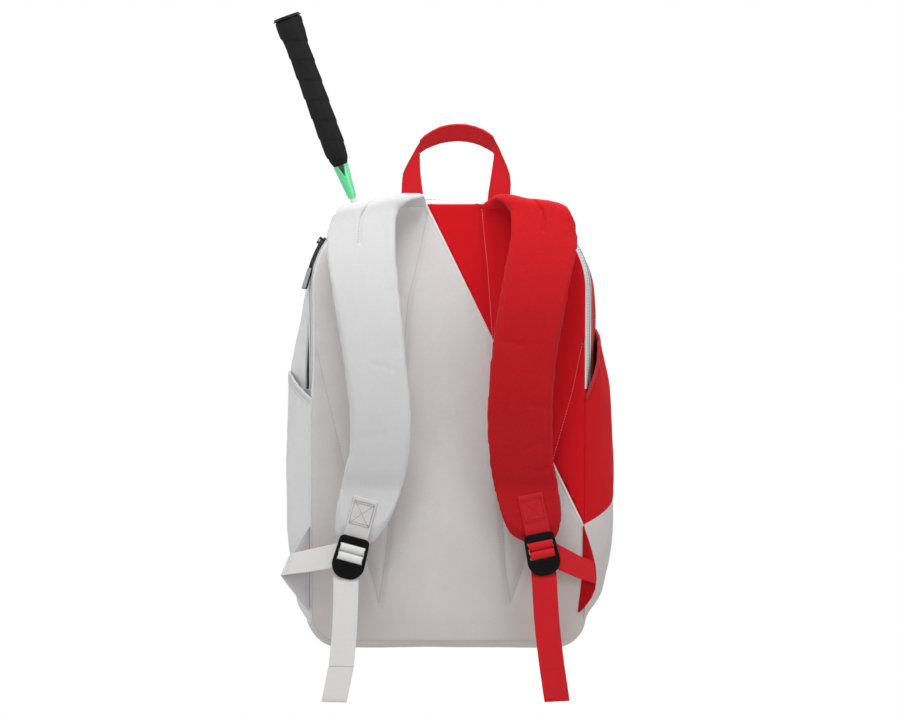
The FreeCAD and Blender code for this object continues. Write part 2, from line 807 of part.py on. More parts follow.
def pocket(body, name, sketch):
    """A sketch cut right through, both ways."""
    feature = body.newObject("PartDesign::Pocket", name)
    feature.Profile = sketch
    feature.Type = "ThroughAll"
    feature.Midplane = True
    return feature


def rectangle(left, low, right, high):
    """The nodes of a rectangle."""
    return [(left, low, "0"), (right, low, "0"), (right, high, "0"), (left, high, "0")]


def rim_edges(shape, y):
    """Names of the edges round the outside of the face in the plane y."""
    faces = [f for f in shape.Faces if abs(f.BoundBox.YMin - y) < 0.01 and f.BoundBox.YLength < 0.01]
    widest = max(faces, key=lambda face: face.Area)
    names = []
    for edge in widest.OuterWire.Edges:
        for index, other in enumerate(shape.Edges, start=1):
            if other.isSame(edge):
                names.append("Edge%d" % index)
    return names


def ladder_lock(name):
    """A moulded ladder lock: a rounded frame, a window with two cross bars, and a ribbed lip."""
    body = doc.addObject("PartDesign::Body", name)
    half = "0.5*lock_width"
    shoulder_half = half + " - 1.2"
    foot = "0 - 0.5*lock_length"
    top = "0.5*lock_length"
    frame = [
        ("0 - 5", foot, "0"),
        ("5", foot, "lock_round"),
        (half, foot + " + 17", "0"),
        (shoulder_half, top + " - lock_top_round", "lock_top_round"),
        (shoulder_half + " - lock_top_round", top, "0"),
        ("0 - 0.5*lock_width + 1.2 + lock_top_round", top, "lock_top_round"),
        ("0 - 0.5*lock_width + 1.2", top + " - lock_top_round", "0"),
        ("0 - 0.5*lock_width", foot + " + 17", "lock_round"),
    ]
    plate = pad(body, name + "_pad", body_sketch(body, name + "_frame", "XZ_Plane", frame), "lock_thick")
    doc.recompute()
    front_edges = rim_edges(body.Shape, -number("lock_thick"))
    bevel = body.newObject("PartDesign::Fillet", name + "_bevel")
    bevel.Base = (plate, front_edges)
    bind(bevel, Radius="lock_bevel")
    window_top = top + " - lock_head"
    window_low = window_top + " - lock_window"
    gap = rectangle("0 - 0.5*lock_opening", window_low, "0.5*lock_opening", window_top)
    pocket(body, name + "_window", body_sketch(body, name + "_opening", "XZ_Plane", gap))
    first = window_top + " - 0.5*lock_pitch"
    for index in range(2):
        middle = first + " - %d*lock_pitch" % index
        bar = rectangle(
            "0 - 0.5*lock_opening - 1",
            middle + " - 0.5*lock_bar",
            "0.5*lock_opening + 1",
            middle + " + 0.5*lock_bar",
        )
        sketch = body_sketch(body, "%s_bar_%d" % (name, index), "XZ_Plane", bar, "lock_bar_rear")
        pad(body, "%s_cross_%d" % (name, index), sketch, "lock_bar_thick")
    for index in range(3):
        middle = window_low + " - 4 - %d*3.2" % index
        rib = rectangle("0 - 8", middle + " - 0.5", "8", middle + " + 0.5")
        sketch = body_sketch(body, "%s_ridge_%d" % (name, index), "XZ_Plane", rib, "lock_thick - 0.2")
        pad(body, "%s_rib_%d" % (name, index), sketch, "0.8")
    return body


def lean(degrees):
    """A lean to the right, seen from the harness side."""
    return Rotation(Vector(0, 1, 0), degrees)


def web_turn(name):
    """Webbing round both cross bars, seen from its edge: over one, behind, and over the next."""
    rear = "0"
    front = "0 - lock_bar_rear - lock_bar_thick - web_thick"
    inner_rear = "0 - lock_bar_rear + 0.05"
    inner_front = "0 - lock_bar_rear - lock_bar_thick - 0.05"
    top = "0.5*lock_length - lock_head"
    first = top + " - 0.5*lock_pitch"
    second = first + " - lock_pitch"
    clear = "0.5*lock_bar + 0.05"
    nodes = [
        (rear, second + " - " + clear, "0"),
        (rear, first + " + 0.5*lock_bar + web_thick", "0"),
        (front, first + " + 0.5*lock_bar + web_thick", "0"),
        (front, first + " - 0.5*lock_bar - 0.6", "0"),
        (inner_front, first + " - 0.5*lock_bar - 0.6", "0"),
        (inner_front, first + " + 0.5*lock_bar + 0.05", "0"),
        (inner_rear, first + " + 0.5*lock_bar + 0.05", "0"),
        (inner_rear, second + " + 0.5*lock_bar + 0.9", "0"),
        (front, second + " + 0.5*lock_bar + 0.9", "0"),
        (front, second + " - 0.5*lock_bar - 0.6", "0"),
        (inner_front, second + " - 0.5*lock_bar - 0.6", "0"),
        (inner_front, second + " + 0.5*lock_bar + 0.05", "0"),
        (inner_rear, second + " + 0.5*lock_bar + 0.05", "0"),
        (inner_rear, second + " - " + clear, "0"),
    ]
    sketch = outline(name + "_edge", nodes, Placement(Vector(-number("web") / 2, 0, 0), SIDEWAYS))
    return slab(name, sketch, "web", Vector(1, 0, 0))


def strip(name, start, end, width, thickness):
    """A straight length of webbing between two points, its width upright."""
    box = doc.addObject("Part::Box", name)
    box.Length = (end - start).Length
    bind(box, Width=thickness, Height=width)
    ahead = (end - start).normalize()
    up = Vector(-ahead.z, 0, ahead.x).normalize()
    across = up.cross(ahead)
    rotation = Rotation(ahead, across, up, "XYZ")
    corner = start - across * (number(thickness) / 2) - up * (number(width) / 2)
    return box, rotation, corner


for word, side in (("left", -1), ("right", 1)):
    tilt = -side * number("lock_%s_tilt" % word)
    middle = Vector(side * number("lock_%s_x" % word), -number("lock_face"), number("lock_%s_z" % word))
    up = lean(tilt).multVec(Vector(0, 0, 1))
    finish_placed(ladder_lock("ladder_" + word), "ladder_lock_" + word, middle, lean(tilt))
    finish_placed(web_turn("turn_" + word), "web_turn_" + word, middle, lean(tilt))
    # the short webbing sewn to the pad, down behind the lock's top bar
    patch_top = middle + up * 65
    patch_end = middle + up * (number("lock_length") / 2 - number("lock_head") + 1)
    patch_y = -number("strap_stand") - number("web_thick") / 2
    patch_top.y = patch_y
    patch_end.y = patch_y
    box = doc.addObject("Part::Box", "patch_" + word)
    box.Length = number("web")
    box.Width = number("web_thick")
    box.Height = (patch_top - patch_end).Length
    bind(box, Length="web", Width="web_thick")
    corner = patch_end + lean(tilt).multVec(Vector(-number("web") / 2, 0, 0))
    corner.y = -number("strap_stand") - number("web_thick")
    finish_placed(box, "strap_web_" + word, corner, lean(tilt))

# Anchor wings: doubled cloth sewn to the back panel's edges low down; the lower webbing starts here.

WINGS = {
    "left": [("0 - 136", "126"), ("0 - 152", "131"), ("0 - 174", "100"), ("0 - 182", "78"),
             ("0 - 153", "38"), ("0 - 136", "42")],
    "right": [("132", "42"), ("145", "38"), ("158", "64"), ("155", "101"), ("143", "129"),
              ("132", "124")],
}
for word, spots in WINGS.items():
    nodes = [(x, z, "0") for x, z in spots]
    if word == "left":
        nodes.reverse()
    wing = outline("wing_outline_" + word, nodes, Placement(Vector(0, 0, 0), UPRIGHT))
    finish(slab("wing_" + word, wing, "wing_thick", Vector(0, -1, 0)), "anchor_wing_" + word)

# Lower webbing, from each wing's outer corner to the back of its ladder lock.

web_y = number("strap_stand") + 2.0
RUNS = {
    "left": (Vector(-177, -3.6, 88), Vector(-111, -web_y, 99)),
    "right": (Vector(156, -3.6, 80), Vector(112, -web_y, 99.5)),
}
for word, (start, end) in RUNS.items():
    box, rotation, corner = strip("lower_" + word, start, end, "web", "web_thick")
    finish_placed(box, "lower_webbing_" + word, corner, rotation)

# Tails: the webbing that hangs out of each lock, with a folded and stitched end.

TAILS = {
    "left": (("0 - 112", "71.5"), ("0 - 117", "0 - 20"), ("0 - 124.5", "0 - 58")),
    "right": (("101.5", "75"), ("110", "0 - 22"), ("115", "0 - 58")),
}
for word, (top, hem, end) in TAILS.items():
    tail_place = Placement(Vector(0, -number("lock_face") - 1, 0), UPRIGHT)
    long_nodes = [
        (end[0] + " - 0.5*web", end[1], "0"),
        (end[0] + " + 0.5*web", end[1], "0"),
        (hem[0] + " + 0.5*web", hem[1], "0"),
        (top[0] + " + 0.5*web", top[1], "0"),
        (top[0] + " - 0.5*web", top[1], "0"),
        (hem[0] + " - 0.5*web", hem[1], "0"),
    ]
    run = slab(
        "tail_run_" + word,
        outline("tail_outline_" + word, long_nodes, tail_place),
        "web_thick",
        Vector(0, -1, 0),
    )
    fold_nodes = [
        (end[0] + " - 0.5*web", end[1], "0"),
        (end[0] + " + 0.5*web", end[1], "0"),
        (hem[0] + " + 0.5*web", hem[1], "0"),
        (hem[0] + " - 0.5*web", hem[1], "0"),
    ]
    fold = slab(
        "tail_fold_" + word,
        outline("hem_outline_" + word, fold_nodes, tail_place),
        "web_thick",
        Vector(0, 1, 0),
    )
    finish(fuse("tail_" + word, [run, fold]), "webbing_tail_" + word)

# Zip sliders: two plates joined by a post, and a bridge with an eye for the pull cord.
# Along the zip is X, across it Y, and off the bag Z; the post is at the open end, +X.


def zip_slider(name, wall):
    """One slider, about the point where the zip's outer face passes under its middle."""
    body = doc.addObject("PartDesign::Body", name)
    long = "0.5*slider_long"
    wide = "0.5*slider_wide"
    plate = [
        ("0 - " + long, "0 - %s + 2" % wide, "0"),
        ("0 - " + long + " + 3", "0 - " + wide, "0"),
        (long + " - 2", "0 - " + wide, "2"),
        (long, "0 - " + wide + " + 2", "0"),
        (long, wide + " - 2", "2"),
        (long + " - 2", wide, "0"),
        ("0 - " + long + " + 3", wide, "0"),
        ("0 - " + long, wide + " - 2", "0"),
    ]
    below = "0 - %s - slider_gap - slider_plate" % wall
    depth = "%s + 2*slider_gap + 2*slider_plate" % wall
    lower = body_sketch(body, name + "_lower", "XY_Plane", plate, below)
    pad(body, name + "_lower_plate", lower, "slider_plate")
    post = rectangle("2.4", "0 - 1.6", "5.4", "1.6")
    pad(body, name + "_post", body_sketch(body, name + "_post_foot", "XY_Plane", post, below), depth)
    upper = body_sketch(body, name + "_upper", "XY_Plane", plate, "slider_gap")
    pad(body, name + "_upper_plate", upper, "slider_plate")
    bridge = rectangle(
        "0 - 0.5*bridge_long", "0 - 0.5*bridge_wide", "0.5*bridge_long", "0.5*bridge_wide"
    )
    over = body_sketch(body, name + "_bridge_foot", "XY_Plane", bridge, "slider_gap + slider_plate")
    pad(body, name + "_bridge", over, "bridge_high")
    height = "slider_gap + slider_plate + 0.5*bridge_high"
    ring = body.newObject("Sketcher::SketchObject", name + "_eye")
    ring.AttachmentSupport = [(origin_plane(body, "XZ_Plane"), "")]
    ring.MapMode = "FlatFace"
    ring.addGeometry(Part.Circle(Vector(0, number(height), 0), Vector(0, 0, 1), number("eye")), False)
    ring.addConstraint(Sketcher.Constraint("PointOnObject", 0, 3, -2))
    at = ring.addConstraint(Sketcher.Constraint("DistanceY", -1, 1, 0, 3, number(height)))
    ring.setExpression("Constraints[%d]" % at, formula(height))
    at = ring.addConstraint(Sketcher.Constraint("Radius", 0, number("eye")))
    ring.setExpression("Constraints[%d]" % at, "Sizes.eye")
    pocket(body, name + "_hole", ring)
    return body


def pull_cord(name):
    """A cord looped through the eye, about the eye's middle: two long runs, two bends, one run across."""
    long = number("cord_long")
    bend = number("cord_bend")
    corner = number("cord_spread") - bend
    layout = (
        ("across", Vector(0, -corner, 0), Rotation(Vector(1, 0, 0), -90), 2 * corner),
        ("near", Vector(-long, -corner - bend, 0), Rotation(Vector(0, 1, 0), 90), long - bend),
        ("far", Vector(-long, corner + bend, 0), Rotation(Vector(0, 1, 0), 90), long - bend),
    )
    parts = []
    for word, spot, rotation, length in layout:
        run = doc.addObject("Part::Cylinder", "%s_%s" % (name, word))
        run.Height = length
        bind(run, Radius="cord")
        run.Placement = Placement(spot, rotation)
        parts.append(run)
    for word, side, turn in (("near", -1, -90), ("far", 1, 0)):
        elbow = doc.addObject("Part::Torus", "%s_%s_bend" % (name, word))
        bind(elbow, Radius1="cord_bend", Radius2="cord")
        elbow.Angle3 = 90
        elbow.Placement = Placement(Vector(-bend, side * corner, 0), Rotation(Vector(0, 0, 1), turn))
        parts.append(elbow)
    return fuse(name, parts)


def pull_tab(name):
    """A flat moulded tab at the cord's end, with three finger ribs."""
    body = doc.addObject("PartDesign::Body", name)
    near = "0 - cord_long"
    far = "0 - cord_long - tab_long"
    wide = "0.5*tab_wide"
    nodes = [
        (far, "0 - " + wide + " + 2.5", "2.5"),
        (far + " + 2.5", "0 - " + wide, "0"),
        (near, "0 - " + wide, "0"),
        (near, wide, "0"),
        (far + " + 2.5", wide, "2.5"),
        (far, wide + " - 2.5", "0"),
    ]
    sketch = body_sketch(body, name + "_face", "XY_Plane", nodes, "0 - 0.5*tab_thick")
    pad(body, name + "_pad", sketch, "tab_thick")
    for index in range(3):
        start = "0 - cord_long - 5 - %d*5" % index
        rib = rectangle(start + " - 1.4", "0 - 3", start, "3")
        side = body_sketch(body, "%s_rib_%d" % (name, index), "XY_Plane", rib, "0.5*tab_thick - 0.2")
        pad(body, "%s_ridge_%d" % (name, index), side, "0.7")
    return body


eye_height = number("slider_gap + slider_plate + 0.5*bridge_high")
flare_side = math.degrees(math.atan2(number("full_top_half") - number("back_top_half"), number("full_rear")))
flare_top = math.degrees(math.atan2(number("full_top") - number("back_top"), number("full_rear")))

# Left slider: on the shoulder, its post uphill. The pull hangs down the outside of the bag.
share = number("slider_left_angle") / 90
flare = flare_side * (1 - share) + flare_top * share
ahead = Vector(math.sin(angle), 0, math.cos(angle))
outward = Vector(-math.cos(angle), 0, math.sin(angle))
away = outward * math.cos(math.radians(flare)) - Vector(0, math.sin(math.radians(flare)), 0)
left_turn = Rotation(ahead, away.cross(ahead), away, "XYZ")
finish_placed(zip_slider("slider_a", "wall"), "main_slider_left", slider_spot, left_turn)
left_eye = slider_spot + away * eye_height

# Right slider: on the level top, its post towards the racket.
right_y = number("racket_y")
right_z = number("back_top") + (number("full_top") - number("back_top")) * right_y / number("full_rear")
right_spot = Vector(-number("slider_right_x"), right_y, right_z)
right_away = Vector(0, -math.sin(math.radians(flare_top)), math.cos(math.radians(flare_top)))
right_turn = Rotation(Vector(-1, 0, 0), right_away.cross(Vector(-1, 0, 0)), right_away, "XYZ")
finish_placed(zip_slider("slider_b", "wall"), "main_slider_right", right_spot, right_turn)
right_eye = right_spot + right_away * eye_height

# Front pocket slider: at the zip's left end, its post outward.
front_spot = Vector(-number("pocket_slider_x"), number("depth + pocket_depth"), number("pocket_zip"))
front_turn = Rotation(Vector(-1, 0, 0), Vector(0, 0, 1), Vector(0, 1, 0), "XZY")
finish_placed(zip_slider("slider_c", "pocket_wall"), "pocket_slider", front_spot, front_turn)
front_eye = front_spot + Vector(0, eye_height, 0)

# A pull lies along the closed zip; droop is how far it leans in towards the bag.
droop = Rotation(Vector(0, 1, 0), -number("pull_droop"))
PULLS = (
    ("left", left_eye, Rotation(Vector(0, 1, 0), -number("pull_lean"))),
    ("right", right_eye, right_turn * droop),
    ("pocket", front_eye, front_turn * droop),
)
for word, eye, rotation in PULLS:
    finish_placed(pull_cord("cord_" + word), "pull_cord_" + word, eye, rotation)
    finish_placed(pull_tab("tab_" + word), "pull_tab_" + word, eye, rotation)

# The racket, made upright with the tip of its head at zero, then leaned over in its sleeve.

racket_turn = lean(-number("racket_tilt"))
racket_foot = Vector(number("racket_foot_x"), number("racket_y"), number("racket_foot_z"))


def racket_piece(part, name):
    """Stand one of the racket's pieces in the bag."""
    return finish_placed(part, name, racket_foot, racket_turn)


def oval(body, name, shrink):
    """An ellipse sketch for the head, smaller all round by a sum."""
    sketch = body.newObject("Sketcher::SketchObject", name)
    sketch.AttachmentSupport = [(origin_plane(body, "XZ_Plane"), "")]
    sketch.MapMode = "FlatFace"
    for text in shrink:
        tall = "0.5*head_long - " + text
        wide = "0.5*head_wide - " + text
        centre = Vector(0, number("head_long") / 2, 0)
        top = centre + Vector(0, number(tall), 0)
        edge = centre + Vector(number(wide), 0, 0)
        ring = sketch.addGeometry(Part.Ellipse(top, edge, centre), False)
        sketch.addConstraint(Sketcher.Constraint("Block", ring))
    return sketch


rim = doc.addObject("PartDesign::Body", "rim")
ring = pad(rim, "rim_pad", oval(rim, "rim_ovals", ("0", "head_rim")), "head_deep")
ring.Midplane = True
doc.recompute()
long_edges = ["Edge%d" % i for i, edge in enumerate(rim.Shape.Edges, 1) if edge.Length > 400]
round_rim = rim.newObject("PartDesign::Chamfer", "rim_bevel")
round_rim.Base = (ring, long_edges)
bind(round_rim, Size="rim_bevel")
racket_piece(rim, "racket_frame")


def string_bars(word, count, size, across, up):
    """The strings that run one way, each a bar; across and up give its corner, as formulas."""
    bars = []
    for step in range(count):
        bar = doc.addObject("Part::Box", "%s_%d" % (word, step))
        bind(bar, Length=size[0], Width="string", Height=size[1])
        bar.setExpression("Placement.Base.x", formula(across.replace("step", str(step))))
        bar.setExpression("Placement.Base.y", formula("0 - 0.5*string"))
        bar.setExpression("Placement.Base.z", formula(up.replace("step", str(step))))
        bars.append(bar)
    return bars


# The string bed: mains up the head and crosses over it, trimmed to the inside of the rim.

mains = string_bars(
    "main", 19, ("string", "head_long"), "step*string_pitch - 9*string_pitch - 0.5*string", "0"
)
crosses = string_bars(
    "cross", 23, ("head_wide", "string"), "0 - 0.5*head_wide",
    "0.5*head_long + step*string_pitch - 11*string_pitch - 0.5*string"
)
window = doc.addObject("PartDesign::Body", "rim_window")
window_pad = pad(window, "window_pad", oval(window, "window_oval", ("head_rim",)), "head_deep")
window_pad.Midplane = True
doc.recompute()
bed = common("string_bed", fuse("string_grid", mains + crosses), window)
racket_piece(bed, "racket_strings")


def rod(label, radius, low, high, low_radius=None):
    """A round piece of the racket, straight or tapered, between two heights up its length."""
    if low_radius is None:
        part = doc.addObject("Part::Cylinder", label)
        bind(part, Radius=radius)
    else:
        part = doc.addObject("Part::Cone", label)
        bind(part, Radius1=low_radius, Radius2=radius)
    holder = doc.addObject("Part::Compound", label + "_set")
    part.setExpression("Height", "%s - (%s)" % (formula(high), formula(low)))
    part.setExpression("Placement.Base.z", formula(low))
    holder.Links = [part]
    return holder


racket_piece(rod("throat", "shaft + 0.6", "head_long", "head_long + 16", "6"), "racket_throat")
racket_piece(rod("shaft_rod", "shaft", "head_long + 16", "cone_low"), "racket_shaft")
racket_piece(rod("cone", "grip_neck", "cone_low", "grip_low", "shaft + 1"), "racket_cone")

grip = doc.addObject("PartDesign::Body", "grip_body")
WRAP_TURNS = 5
grip_nodes = [("0", "grip_low", "0"), ("grip_neck", "grip_low", "0")]
for turn in range(WRAP_TURNS):
    start, end = turn / WRAP_TURNS, (turn + 1) / WRAP_TURNS
    low = "%g*grip_full + %g*butt_from" % (1 - start, start)
    high = "%g*grip_full + %g*butt_from" % (1 - end, end)
    grip_nodes.append(("grip - wrap_step", low, "0"))
    grip_nodes.append(("grip", high, "0"))
grip_nodes += [
    ("grip - wrap_step", "butt_from", "0"),
    ("butt", "racket_long - cap_thick - 4", "0"),
    ("butt", "racket_long - cap_thick", "0"),
    ("0", "racket_long - cap_thick", "0"),
]
grip_sketch = body_sketch(grip, "grip_profile", "XZ_Plane", grip_nodes)
turned = grip.newObject("PartDesign::Revolution", "grip_turn")
turned.Profile = grip_sketch
turned.ReferenceAxis = (grip_sketch, ["V_Axis"])
turned.Angle = 360
racket_piece(grip, "racket_grip")
cap = rod("cap", "butt - 2", "racket_long - cap_thick", "racket_long", "butt")
racket_piece(cap, "racket_butt_cap")


def check_and_export():
    """Refuse a failed or invalid piece, then write every piece to its own file."""
    doc.recompute()
    failed = [part.Label for part in doc.Objects if {"Invalid", "Error"} & set(part.State)]
    if failed:
        raise RuntimeError("not built: " + ", ".join(failed))
    for part in pieces:
        if part.Shape.isNull() or not part.Shape.isValid():
            raise RuntimeError("bad shape: " + part.Label)
    os.makedirs("parts", exist_ok=True)
    for part in pieces:
        part.Shape.exportStep("parts/%s.step" % part.Label)


check_and_export()
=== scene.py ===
import math

import bpy
import bmesh
from mathutils import Matrix, Vector, noise


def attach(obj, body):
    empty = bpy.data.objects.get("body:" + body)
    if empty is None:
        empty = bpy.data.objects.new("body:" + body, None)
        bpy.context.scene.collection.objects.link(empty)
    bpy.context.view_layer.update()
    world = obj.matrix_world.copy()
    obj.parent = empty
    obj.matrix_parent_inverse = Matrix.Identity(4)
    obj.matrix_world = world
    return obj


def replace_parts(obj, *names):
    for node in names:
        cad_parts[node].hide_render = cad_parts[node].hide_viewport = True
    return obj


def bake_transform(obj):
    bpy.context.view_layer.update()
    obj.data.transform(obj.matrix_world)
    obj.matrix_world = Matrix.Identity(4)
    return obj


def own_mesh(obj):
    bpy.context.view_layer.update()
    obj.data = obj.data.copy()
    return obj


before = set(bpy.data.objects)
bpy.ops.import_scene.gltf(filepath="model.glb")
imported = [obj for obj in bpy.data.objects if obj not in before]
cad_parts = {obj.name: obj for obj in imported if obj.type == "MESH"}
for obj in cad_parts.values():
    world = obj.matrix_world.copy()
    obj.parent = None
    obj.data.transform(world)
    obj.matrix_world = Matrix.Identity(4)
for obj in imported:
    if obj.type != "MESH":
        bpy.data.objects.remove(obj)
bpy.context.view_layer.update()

# The room: the bag hangs by its haul loop over a plain white floor, in soft light that falls
# from above and in front. The camera looks level at the harness side.

bpy.context.scene.view_settings.view_transform = "Standard"
FLOOR_HEIGHT, FLOOR_RADIUS = -0.96, 4.0
bpy.ops.mesh.primitive_circle_add(
    vertices=96, radius=FLOOR_RADIUS, fill_type="NGON", location=(0, 0, FLOOR_HEIGHT)
)
floor = bpy.context.object
floor.name = "floor"


def add(tree, kind, sockets=None, **settings):
    """Add a shader node: its settings, then for each input a value or the output that feeds it."""
    node = tree.nodes.new("ShaderNode" + kind)
    for name, value in settings.items():
        setattr(node, name, value)
    for name, value in (sockets or {}).items():
        if isinstance(value, bpy.types.NodeSocket):
            tree.links.new(value, node.inputs[name])
        else:
            node.inputs[name].default_value = value
    return node


def step(tree, operation, *values):
    """One sum in a tree of nodes."""
    return add(tree, "Math", dict(enumerate(values)), operation=operation).outputs[0]


def seen_white(tree, under, white, share, surface):
    """The eye and reflections see a share of plain white, light meets what lies under it."""
    path = add(tree, "LightPath").outputs
    seen = step(tree, "MAXIMUM", path["Is Camera Ray"], path["Is Glossy Ray"])
    seen = step(tree, "MAXIMUM", seen, path["Is Transmission Ray"])
    factor = step(tree, "MULTIPLY", seen, share)
    blend = add(tree, "MixShader", {0: factor, 1: under.outputs[0], 2: white.outputs[0]})
    add(tree, surface, {"Surface": blend.outputs[0]})


WHITE = (1, 1, 1, 1)
floor_white = bpy.data.materials.new("floor_white")
floor_white.use_nodes = True
tree = floor_white.node_tree
tree.nodes.clear()
matt = add(tree, "BsdfDiffuse", {"Color": (0.6, 0.6, 0.6, 1)})
glow = add(tree, "Emission", {"Color": WHITE, "Strength": 1.0})
seen_white(tree, matt, glow, 0.9, "OutputMaterial")
floor.data.materials.append(floor_white)

room = bpy.data.worlds.new("room")
bpy.context.scene.world = room
room.use_nodes = True
tree = room.node_tree
tree.nodes.clear()
# daylight: stronger from above than from below
height = add(tree, "SeparateXYZ", {0: add(tree, "TexCoord").outputs["Generated"]}).outputs["Z"]
level = add(tree, "MapRange", {"From Min": -1.0, "To Min": 0.17, "To Max": 0.54, "Value": height})
dim = add(tree, "Background", {"Color": (0.96, 0.97, 1.0, 1), "Strength": level.outputs[0]})
bright = add(tree, "Background", {"Color": WHITE, "Strength": 1.0})
seen_white(tree, dim, bright, 1.0, "OutputWorld")

for name, place, aim, size, power in (
    # large soft lamps, each turned at a point: size in metres, power in watts
    ("key_lamp", (-0.25, -0.80, 0.95), (0, 0, -0.2), 0.7, 7.6),
    ("top_lamp", (0.15, -0.42, 1.15), (0, 0, 0), 0.7, 8.6),
    ("fill_lamp", (1.7, -1.4, 0.0), (0, 0, -0.25), 1.4, 11.0),
    ("left_lamp", (-1.6, -1.4, -0.1), (0, 0, -0.25), 1.4, 5.6),
    ("rear_lamp", (0.3, 2.2, 1.2), (0, 0, -0.2), 1.6, 24.0),
    ("side_lamp", (-2.1, 0.5, 0.6), (0, 0, -0.2), 1.4, 9.0),
):
    light = bpy.data.lights.new(name, "AREA")
    light.shape = "DISK"
    light.size = size
    light.energy = power
    lamp = bpy.data.objects.new(name, light)
    bpy.context.scene.collection.objects.link(lamp)
    lamp.location = place
    lamp.rotation_euler = (Vector(aim) - Vector(place)).to_track_quat("-Z", "Y").to_euler()

view = bpy.data.cameras.new("view")
view.lens = 400
view.sensor_width = 36
camera = bpy.data.objects.new("view", view)
bpy.context.scene.collection.objects.link(camera)
camera.location = (0.0, -10.80, -0.2328)
camera.rotation_euler = (math.pi / 2, 0, 0)
bpy.context.scene.camera = camera

# The back panel: foam between two layers of woven polyester, quilted by seams that run down
# to two points low on the back, in pale and red halves that meet on one slanting seam.

# the origin, in millimetres forward of the back panel's face and above the base
FORWARD, RAISED = 6.5, 545.8


def spot(x, y, z):
    """A point in metres, from millimetres off the middle of the base: across, forward, up."""
    return Vector((x, y - FORWARD, z - RAISED)) / 1000


def dye(*levels):
    """A colour as a dyer's card gives it, 0 to 255, for a shader."""
    card = [level / 255 for level in levels]
    return (*[c / 12.92 if c <= 0.04045 else ((c + 0.055) / 1.055) ** 2.4 for c in card], 1)


def between(value, pairs):
    """Read a table of pairs smoothly at a value."""
    if value <= pairs[0][0]:
        return pairs[0][1]
    for (low, at_low), (high, at_high) in zip(pairs, pairs[1:]):
        if value <= high:
            share = (value - low) / (high - low)
            return at_low + (at_high - at_low) * share
    return pairs[-1][1]


def ease(value):
    """A smooth step from 0 to 1."""
    value = min(max(value, 0.0), 1.0)
    return value * value * (3 - 2 * value)


# woven cloth: threads over and under each other, uneven in thickness, and slow mottling. Its Shade output
# follows the threads' height: painted shade, darker in the hollows between threads and lighter on their
# crowns
weave = bpy.data.node_groups.new("weave", "ShaderNodeTree")
for name, way, kind in (
    ("Place", "INPUT", "Vector"), ("Thread", "INPUT", "Float"), ("Rib", "INPUT", "Float"),
    ("Height", "OUTPUT", "Float"), ("Shade", "OUTPUT", "Float"), ("Mottle", "OUTPUT", "Float"),
):
    socket = weave.interface.new_socket(name=name, in_out=way, socket_type="NodeSocket" + kind)
    if name == "Thread":
        socket.default_value = 0.0009
entry = weave.nodes.new("NodeGroupInput").outputs
leave = weave.nodes.new("NodeGroupOutput").inputs
axes = add(weave, "SeparateXYZ", {0: entry["Place"]}).outputs
slub = add(weave, "TexNoise", {"Scale": 260, "Detail": 3, "Vector": entry["Place"]}).outputs["Fac"]
slow = add(weave, "TexNoise", {"Scale": 16, "Detail": 4, "Vector": entry["Place"]}).outputs["Fac"]
warp = step(weave, "DIVIDE", axes["X"], entry["Thread"])
weft = step(weave, "DIVIDE", axes["Y"], entry["Thread"])
crossing = step(weave, "ADD", step(weave, "FLOOR", warp), step(weave, "FLOOR", weft))
parity = step(weave, "PINGPONG", crossing, 1.0)
over = step(weave, "ABSOLUTE", step(weave, "SINE", step(weave, "MULTIPLY", warp, math.pi)))
under = step(weave, "ABSOLUTE", step(weave, "SINE", step(weave, "MULTIPLY", weft, math.pi)))
crown = step(weave, "ADD", step(weave, "MULTIPLY", over, parity),
             step(weave, "MULTIPLY", under, step(weave, "SUBTRACT", 1.0, parity)))
plain = step(weave, "MULTIPLY", crown, step(weave, "SUBTRACT", 1.0, entry["Rib"]))
crown = step(weave, "ADD", plain, step(weave, "MULTIPLY", under, entry["Rib"]))
rough = step(weave, "ADD", crown, step(weave, "MULTIPLY", slub, 0.7))
weave.links.new(rough, leave["Height"])
weave.links.new(step(weave, "MULTIPLY", rough, 0.6), leave["Shade"])
weave.links.new(slow, leave["Mottle"])


def blank(name):
    """A new finish, its tree of nodes and its shader's inputs."""
    finish = bpy.data.materials.new(name)
    finish.use_nodes = True
    return finish, finish.node_tree, finish.node_tree.nodes["Principled BSDF"].inputs


def tones(tree, factor, first, second, way="MIX"):
    """Two colours laid over each other."""
    sockets = {"Factor": factor, "A": first, "B": second}
    return add(tree, "Mix", sockets, data_type="RGBA", blend_type=way).outputs["Result"]


def scaled(tree, value, **limits):
    """A value read on a new scale."""
    limits = {name.replace("_", " ").title(): limit for name, limit in limits.items()}
    return add(tree, "MapRange", {"Value": value, **limits}).outputs[0]


def emboss(tree, shader, height, strength, distance):
    """A fine relief in a surface."""
    relief = add(tree, "Bump", {"Strength": strength, "Distance": distance, "Height": height})
    tree.links.new(relief.outputs[0], shader["Normal"])


